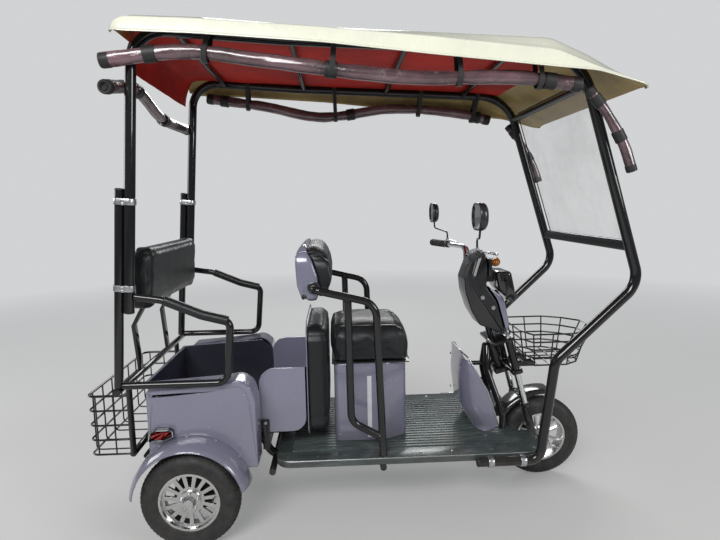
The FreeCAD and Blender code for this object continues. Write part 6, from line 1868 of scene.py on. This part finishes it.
class TricycleFrontFender(Step, bpy.types.Operator):
    """Mudguard over the steered wheel"""

    bl_idname = "tricycle.front_fender"
    bl_label = "Front fender"

    def make(self, context):
        outside = [(213, -54), (221, -52), (227.5, -47.5), (230, -42), (231, -30), (231.4, 0)]
        inside = [(227.6, 0), (227.2, -30), (226.3, -40), (223, -45.5), (218, -49.5), (213, -52)]
        rows = (outside + [(r, -s) for r, s in reversed(outside[:-1])]
                + [(r, -s) for r, s in reversed(inside[1:])] + inside)
        blade = wheel_turned("Blade", rows, at(FRONT_AXLE, 0, AXLE_HEIGHT), "dark_housing", 56, 82, 68)
        parts = [blade]
        for side in (-1, 1):
            for up in (-178, -196):
                parts.append(tubes("Stay", [[(raked(LEG_AHEAD, up, side * 46), 0),
                                             (raked(LEG_AHEAD, up, side * 61.7), 0)]], 5,
                                   "black_enamel", sides=14))
            parts.append(raked_block("Plate", (47, side * 48 - 2, -205), (63, side * 48 + 2, -150),
                                     "black_enamel", 1))
        settle(join(parts, "FrontFender"), "steering", ["front_fender"], 45)


GRIP_END = (1060, 388, 1060)
GRIP_WAY = Vector((105, -258, -4)).normalized()


def on_bar(distance, side):
    """A point on the grip's axis at a distance in millimetres from the bar's end."""
    x, y, z = Vector(GRIP_END) + GRIP_WAY * distance
    return at(x, side * y, z)


def bar_turned(name, rows, side, material, sides=32):
    """A shape turned about the grip's axis from (radius, distance) pairs in millimetres."""
    piece = turned_shape(name, [(r / 1000, h / 1000) for r, h in rows], material, sides)
    start = on_bar(0, side)
    return tidy(aimed(piece, start, on_bar(100, side) - start))


class TricycleHandlebar(Step, bpy.types.Operator):
    """High chromed handlebar with ribbed grips, lever clamps, brake levers and their cables"""

    bl_idname = "tricycle.handlebar"
    bl_label = "Handlebar and controls"

    def make(self, context):
        settle(tubes("Handlebar", [BAR], 11, "chrome_plate", steps=18), "steering", ["handlebar"])
        parts = []
        for side in (-1, 1):
            rows = [(0, -6), (13, -6), (16, -4.6), (17, -2)]
            for k in range(14):
                start = 4 + k * 7.4
                rows += [(17, start), (17, start + 4.4), (15.6, start + 5.2), (15.6, start + 6.6)]
            rows += [(17, 108), (17, 112), (16, 117), (11.6, 118), (11.6, 60), (0, 60)]
            parts.append(bar_turned("Grip", rows, side, "grip_rubber", 36))
            parts.append(bar_turned("Ring", [(11.4, 118), (15, 118.3), (16, 119.5), (16, 140.5), (15, 141.8),
                                             (11.4, 142), (11.4, 118)], side, "black_moulding", 32))
            perch = Vector(GRIP_END) + GRIP_WAY * 130
            route = [perch + Vector((4, 0, 2)), perch + Vector((52, -8, 6)), perch + Vector((34, 138, 14))]
            lever = path([(x, side * y, z) for x, y, z in route], [14])
            parts.append(tubes("Lever", [lever], 4.6, "chrome_plate", sides=16, steps=10))
            tip = at(route[2].x, side * route[2].y, route[2].z)
            knob = turned_shape("Knob", [(0, -0.0062), (0.0042, -0.0048), (0.0062, 0), (0.0042, 0.0048),
                                         (0, 0.0062)],
                                "chrome_plate", 20)
            knob.data.transform(Matrix.Translation(tip))
            parts.append(knob)
            mid = perch + Vector((10, 0, 2))
            parts.append(block("Perch", (mid.x - 12, side * mid.y - 11, mid.z - 9),
                               (mid.x + 16, side * mid.y + 11, mid.z + 9),
                               "black_moulding", 4))
            forward = Vector((-GRIP_WAY.y, GRIP_WAY.x, 0)).normalized()
            start = Vector(GRIP_END) + GRIP_WAY * 147 + forward * 14.9
            corner = Vector((1165, 130, 1056))
            fall = (Vector((1150, 60, 935)) - corner).normalized()
            reach = (corner.y - 69.3) / -fall.y
            last = corner + fall * reach + Vector((15.9, 0, 0))
            cable = [start, corner + forward * 14.9, last]
            parts.append(tubes("Cable", [path([(x, side * y, z) for x, y, z in cable], [40])], 3,
                               "black_moulding", sides=12, steps=12))
        settle(join(parts, "HandControls"), "steering", ["hand_controls"], 40)


class TricycleMirrors(Step, bpy.types.Operator):
    """Oval mirrors on their stems"""

    bl_idname = "tricycle.mirrors"
    bl_label = "Mirrors"

    def make(self, context):
        parts = []
        for side in (-1, 1):
            corners = [(side * 428 + a, 1211 + b) for a, b in ((-65, -50), (65, -50), (65, 50), (-65, 50))]
            outline = rounded_outline(corners, 46, 8)

            def place(a, b, depth):
                return at(1059 + depth, a, b)
            steps = ((8, 2.2), (7, 0.4), (5.2, 0), (2.2, 0.3), (0.4, 2), (0, 5), (0, 14), (1.4, 20),
                     (5, 25.6), (11, 29.6), (20, 31.6), (30, 32))
            parts.append(stepped_panel("Case", outline, steps, place, "black_moulding"))
            glass = stepped_panel("Glass", inset_outline(outline, 7.6), ((0, 3.0), (0, 1.7), (0.6, 1.3)),
                                  place, "mirror_glass")
            parts.append(glass)
            perch = Vector(GRIP_END) + GRIP_WAY * 130
            stem = [perch + Vector((0, 0, 16.5)), perch + Vector((0, -2, 60.3)), Vector((1075, 418, 1133)),
                    Vector((1075, 428, 1167))]
            parts.append(tubes("Stem", [path([(x, side * y, z) for x, y, z in stem], [18, 18])], 4,
                               "black_enamel", sides=14, steps=8))
            nut = nut_shape(0.0075, 0.009)
            nut.data.transform(Matrix.Translation(at(perch.x, side * perch.y, perch.z + 20)))
            parts.append(nut)
        settle(join(parts, "Mirrors"), "steering", ["mirrors"], 40)


class TricycleCowl(Step, bpy.types.Operator):
    """Steering cowl with its instrument pod, key locks and coloured blade"""

    bl_idname = "tricycle.cowl"
    bl_label = "Steering cowl"

    def make(self, context):
        shape = rounded_outline([(1112, 936), (1118, 872), (1145, 789), (1183, 726), (1296, 680), (1281, 744),
                                 (1255, 833), (1210, 897), (1214, 962), (1204, 1040), (1188, 1055),
                                 (1150, 1040),
                                 (1128, 980)], [30, 60, 90, 16, 6, 60, 80, 20, 60, 14, 12, 40, 50], 6)
        parts = [loaf("Body", shape, COWL_HALF, "black_moulding", 9)]
        seam = inset_outline(shape, 14)
        for side in (-1, 1):
            parts.append(tubes("Seam", [[(at(a, side * 65.2, b), 0) for a, b in seam + seam[:1]]], 1.2,
                               "dark_housing", sides=6, steps=1))
            for x, z in ((1192, 849), (1240, 803)):
                lock = turned_shape("Lock", [(0, 0.0032), (0.0045, 0.0032), (0.0085, 0.003), (0.0098, 0.0012),
                                             (0.0098, -0.004), (0, -0.004)], "zinc_plate", 24)
                parts.append(aimed(lock, at(x, side * COWL_HALF, z), (0, side, 0)))
        # the pod's blank display looks back at the driver
        tilt = math.atan2(22, 60)

        def face(a, b, depth):
            up = Vector((math.sin(tilt), 0, math.cos(tilt)))
            out = Vector((-math.cos(tilt), 0, math.sin(tilt)))
            middle = Vector((1139, 0, 1010))
            x, y, z = middle + Vector((0, a, 0)) + up * b + out * depth
            return at(x, y, z)

        screen = rounded_outline([(-48, -22), (48, -22), (48, 22), (-48, 22)], 9, 5)
        parts.append(stepped_panel("Bezel", screen, ((0, -4), (0, 1.6), (1, 2.4), (3.5, 2.4), (4.5, 1.2)),
                                   face, "dark_housing"))
        parts.append(stepped_panel("Display", inset_outline(screen, 5), ((0, 0.6), (0.4, 1.5)), face,
                                   "clear_lens"))
        settle(join(parts, "SteeringCowl"), "steering", ["steering_cowl"], 40)
        blade = rounded_outline([(1210.8, 903), (1290, 846), (1316, 723), (1301, 675), (1281.4, 744),
                                 (1255.4, 833), (1210.5, 897.3)], [4, 60, 50, 5, 60, 80, 3], 7)
        settle(loaf("CowlBlade", blade, 60, "lilac_panel", 7), "steering", ["cowl_trim"], 40)


class TricycleLamps(Step, bpy.types.Operator):
    """Headlight and pointed signal lamps"""

    bl_idname = "tricycle.lamps"
    bl_label = "Front lamps"

    def make(self, context):
        shape = rounded_outline([(1246, 965), (1316, 962), (1336, 872), (1323, 814), (1306, 838),
                                 (1262, 883)],
                                [16, 18, 60, 12, 60, 40], 7)
        parts = [loaf("Case", shape, 80, "dark_housing", 16, crown=5)]
        front = rounded_outline([(1306, 948), (1318.5, 946), (1337.4, 872), (1327, 828), (1312, 846)],
                                [6, 12, 60, 8, 20], 7)
        parts.append(loaf("Glass", front, 62, "smoked_lens", 8))
        parts.append(slab("Neck", [(1211.4, 912), (1252, 912), (1252, 948), (1213.6, 948)], -26, 26, "XZ",
                          "black_moulding"))
        parts.append(block("Bridge", (1222, -50, 940), (1238, 50, 1018), "black_moulding", 3))
        for side in (-1, 1):
            low, high = sorted((side * 40, side * 104))
            parts.append(block("Stalk", (1222, low, 1004), (1238, high, 1018), "black_moulding", 3))
            rows = [(0, 0), (0.012, 0), (0.0165, 0.002), (0.0195, 0.008), (0.020, 0.014), (0.0185, 0.018)]
            case = turned_shape("SignalCase", rows + [(0.0, 0.018)], "black_moulding", 32)
            lens = turned_shape("SignalLens", [(0, 0.018), (0.0182, 0.018), (0.0172, 0.028), (0.013, 0.040),
                                               (0.007, 0.0465), (0, 0.048)], "amber_lens", 32)
            for piece in (case, lens):
                parts.append(aimed(piece, at(1230, side * 100, 1011), (0, side, 0)))
        settle(join(parts, "FrontLamps"), "steering", ["front_lamps"], 40)


BASKET_RIM = ((1350, 0), (1350, -100), (1380, -172), (1550, -172), (1630, -130), (1690, -60), (1690, 0))
BASKET_FLOOR = ((1370, 0), (1370, -95), (1400, -140), (1540, -140), (1600, -100), (1620, -50), (1620, 0))


class TricycleBasket(Step, bpy.types.Operator):
    """Wire basket that turns with the steering"""

    bl_idname = "tricycle.basket"
    bl_label = "Front basket"

    def make(self, context):
        rings, wires = [], []
        levels = 5
        for i in range(levels):
            share = i / (levels - 1)
            half = [((1 - share) * a[0] + share * b[0], (1 - share) * a[1] + share * b[1])
                    for a, b in zip(BASKET_RIM, BASKET_FLOOR)]
            height = 705 + (562 - 705) * share
            around = half + [(x, -y) for x, y in reversed(half[1:-1])]
            corners = [(x, y, height) for x, y in around + around[:1]]
            rings.append(path(corners, [10] * (len(corners) - 2)))
        for a, b in list(zip(BASKET_RIM, BASKET_FLOOR)) + [((1465, -172), (1470, -140))]:
            for way in (-1, 1):
                if a[1] == 0 and way > 0:
                    continue
                wires.append(path([(a[0], way * a[1], 705), (b[0], way * b[1], 562)], []))
        for place in (1420, 1470, 1520, 1570):
            half = 138 if place < 1545 else 118
            wires.append(path([(place, -half, 562), (place, half, 562)], []))
        for side in (-52, 0, 52):
            wires.append(path([(1372, side, 562), (1618, side, 562)], []))
        rails = tubes("BasketRails", rings, 3.5, "black_enamel", sides=10, steps=4)
        slim = tubes("BasketWires", wires, 3, "black_enamel", sides=8)
        settle(join([rails, slim], "FrontBasket"), "steering", ["front_basket"])


class TricycleShield(Step, bpy.types.Operator):
    """Leg shield behind the steering column, with bright piping on its edges"""

    bl_idname = "tricycle.shield"
    bl_label = "Leg shield"

    def make(self, context):
        heights = list(np.linspace(618, 300, 24)) + [292, 284, 279, 276]
        rear = ((275.3, 1152), (360, 1100), (500, 1083), (618, 1092))
        front = ((275.3, 1200), (300, 1248), (450, 1200), (600, 1120), (618, 1104))
        rings = []
        for z in heights:
            back = float(np.interp(z, [p[0] for p in rear], [p[1] for p in rear]))
            back = 0.5 * (back + float(np.mean([np.interp(z + d, [p[0] for p in rear], [p[1] for p in rear])
                                                for d in (-26, -13, 13, 26)])))
            ahead = max(back + 8, float(np.interp(z, [p[0] for p in front], [p[1] for p in front])))
            deep = min(80.0, (ahead - back) * 0.85)
            wide = 84.0
            half = [(ahead, -SHIELD_HALF), (back + deep, -SHIELD_HALF)]
            half += [(back + deep - deep * math.sin(t), -SHIELD_HALF + wide - wide * math.cos(t))
                     for t in np.linspace(0.1, math.pi / 2, 12)]
            half += [(back - 0.4, y) for y in (-40, -20)]
            rings.append([at(x, y, z) for x, y in half] + [at(back - 1, 0, z)]
                         + [at(x, -y, z) for x, y in reversed(half)])
        shield = swept("LegShield", rings, "lilac_panel")
        low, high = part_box("leg_shield")
        write_points(shield, ease_corners(read_points(shield), (1, 2), low, high, (0, 0, 80, 80)))
        middle = shield.data.polygons[len(rings[0]) // 2]
        if middle.normal.x > 0:
            shield.data.flip_normals()
        add_modifier(shield, "SOLIDIFY", thickness=0.0038, offset=-1, use_even_offset=False)
        bake(shield)
        settle(shield, "chassis", ["leg_shield"], 50)
        edge = [(1246, -143, 302), (1199, -143, 450), (1142, -143, 551), (1116, -130, 600),
                (1093, -72, 618.5)]
        run = path(edge + [(x, -y, z) for x, y, z in reversed(edge)], [60, 60, 26, 26, 26, 26, 60, 60])
        settle(tubes("ShieldPiping", [run], 3.2, "zinc_plate", sides=12, steps=8), "chassis")
        places = [(at(1088, side * 90, z), (-1, 0, 0)) for side in (-1, 1) for z in (400, 560)]
        fasten("ShieldScrews", button_shape(0.006, 0.003), places)


class TricycleUnderbody(Step, bpy.types.Operator):
    """Frame, springs and drive axle, seen from below"""

    bl_idname = "tricycle.underbody"
    bl_label = "Underbody"

    def make(self, context):
        stand_in("chassis_frame", "ChassisFrame", "chassis", "black_enamel", 1.0)
        stand_in("drive_axle", "DriveAxle", "chassis", "cast_iron", 2.0)
        stand_in("leaf_springs", "LeafSprings", "chassis", "cast_iron", 0.8)
        places = [(at(35 * math.cos(t), side * 52.5, AXLE_HEIGHT + 60 * math.sin(t)), (0, side, 0))
                  for side in (-1, 1) for t in np.linspace(0, 2 * math.pi, 7)[:-1]]
        fasten("CasingBolts", nut_shape(0.005, 0.005), places)


# Wheels
def tyre_piece(name, node, body, centre):
    """A tyre turned about its axle, with shoulder blocks and a grooved crown."""
    reach = sizes().wheel_radius * 1000
    half = sizes().tyre_width * 500
    inner = [(108, 27), (116.4, 36.8)]
    side = [(124, 38.6), (132, 39.6), (133, 40.0), (145, 40.0), (150, 39.7)]
    crown = []
    for t in np.linspace(math.radians(80), math.radians(14), 12):
        crown.append((reach - half - 1.6 + half * math.cos(t) * 0.995, half * math.sin(t) * 0.985))
    grooves = [(reach - 2.0, 8.2), (reach - 4.2, 7.6), (reach - 4.2, 5.6), (reach - 1.9, 5.0)]
    right = inner + side + crown + grooves
    rows = [(r, -s) for r, s in right] + [(r, s) for r, s in reversed(right)]
    body_piece = wheel_turned(name, rows, centre, "tyre_rubber", 128)
    blocks = []
    for way in (-1, 1):
        shape = block("Lug", (-5.2, 0, 0), (5.2, 12.5, 3.0), "tyre_rubber", 0.7,
                      lambda x, y, z: Vector((x, y, z)) / 1000)
        lean = math.radians(41) * way
        shape.data.transform(Matrix.Rotation(math.radians(14 * way), 4, "Z"))
        shape.data.transform(Matrix.Translation((0, -0.006 * 1, -0.0015)))
        arm = (half - 1.9) / 1000
        turn = Matrix.Rotation(-lean, 4, "X")
        lift = Vector((0, arm * math.sin(lean), (reach - half) / 1000 + arm * math.cos(lean)))
        shape.data.transform(Matrix.Translation(lift) @ turn)
        blocks.append(around_wheel("Lugs", shape, sizes().tread_blocks, centre, "tyre_rubber"))
    for way in (-1, 1):
        shape = block("Bar", (-6.4, -3.4, 0), (6.4, 3.4, 2.4), "tyre_rubber", 0.6,
                      lambda x, y, z: Vector((x, y, z)) / 1000)
        shape.data.transform(Matrix.Rotation(math.radians(-24 * way), 4, "Z"))
        lean = math.radians(18) * way
        arm = (half - 2.0) / 1000
        lift = Vector((0, arm * math.sin(lean), (reach - half) / 1000 + arm * math.cos(lean)))
        shape.data.transform(Matrix.Translation(lift) @ Matrix.Rotation(-lean, 4, "X"))
        blocks.append(around_wheel("Bars", shape, sizes().tread_blocks, centre, "tyre_rubber"))
    settle(join([body_piece] + blocks, name), body, [node], 36)


class TricycleWheels(Step, bpy.types.Operator):
    """Three wheels: tyres with their tread, slotted rear rims and the spoked front rim"""

    bl_idname = "tricycle.wheels"
    bl_label = "Wheels"

    def make(self, context):
        tyre_piece("FrontTyre", "front_tyre", "front_wheel", at(FRONT_AXLE, 0, AXLE_HEIGHT))
        settle(rounded_copy("front_rim", "FrontRim", "silver_alloy", 0.0016, 3), "front_wheel",
               ["front_rim"])
        for name, side in SIDES:
            body = "rear_wheel_" + name
            tyre_piece("RearTyre" + name.title(), "rear_tyre_" + name, body,
                       at(0, side * REAR_WHEEL_OUT, AXLE_HEIGHT))
            rim = rounded_copy("rear_rim_" + name, "RearRim" + name.title(), "silver_alloy", 0.0014, 3)
            settle(rim, body, ["rear_rim_" + name])
            nut = aimed(nut_shape(0.0056, 0.008), (0, side * 0.0262, 0.032), (0, side, 0))
            settle(around_wheel("HubNuts" + name.title(), nut, 5, at(0, side * REAR_WHEEL_OUT, AXLE_HEIGHT),
                                "zinc_plate"), body)
            valve = rods("Valve" + name.title(), [((84, side * 428, AXLE_HEIGHT),
                                                   (84, side * 446, AXLE_HEIGHT))], 3, "black_shell", 12)
            settle(valve, body)


class TRICYCLE_PT_steps(bpy.types.Panel):
    """Every step of the tricycle's surfaces, in order"""

    bl_idname = "TRICYCLE_PT_steps"
    bl_label = "Passenger tricycle"
    bl_space_type = "VIEW_3D"
    bl_region_type = "UI"
    bl_category = "Tricycle"

    def draw(self, context):
        for step in STEPS:
            self.layout.operator(step.bl_idname)
        for group_of in (context.scene.tricycle_sizes, context.scene.tricycle_colours):
            for field in type(group_of).__annotations__:
                self.layout.prop(group_of, field)


STEPS = (TricycleStage, TricycleHoops, TricyclePosts, TricycleRails, TricycleRoof, TricycleLining,
         TricycleScreen, TricycleCurtains, TricycleFlanks, TricycleFenders, TricycleTub, TricycleDeck,
         TricycleLocker, TricyclePassengerRest, TricycleDriverRest, TricycleSaddle, TricycleBench,
         TricycleShield, TricycleUnderbody, TricycleFork, TricycleFrontFender, TricycleHandlebar,
         TricycleMirrors, TricycleCowl, TricycleLamps, TricycleBasket, TricycleWheels)
CLASSES = (TricycleSizes, TricycleColours) + STEPS + (TRICYCLE_PT_steps,)


def register():
    for kind in CLASSES:
        bpy.utils.register_class(kind)
    bpy.types.Scene.tricycle_sizes = bpy.props.PointerProperty(type=TricycleSizes)
    bpy.types.Scene.tricycle_colours = bpy.props.PointerProperty(type=TricycleColours)


def unregister():
    del bpy.types.Scene.tricycle_colours
    del bpy.types.Scene.tricycle_sizes
    for kind in reversed(CLASSES):
        bpy.utils.unregister_class(kind)


def main():
    register()
    make_materials()
    for make_group in (tube_group, ring_group, scatter_group, row_group):
        make_group()
    for step in STEPS:
        area, name = step.bl_idname.split(".")
        getattr(getattr(bpy.ops, area), name)()


if __name__ == "__main__":
    main()
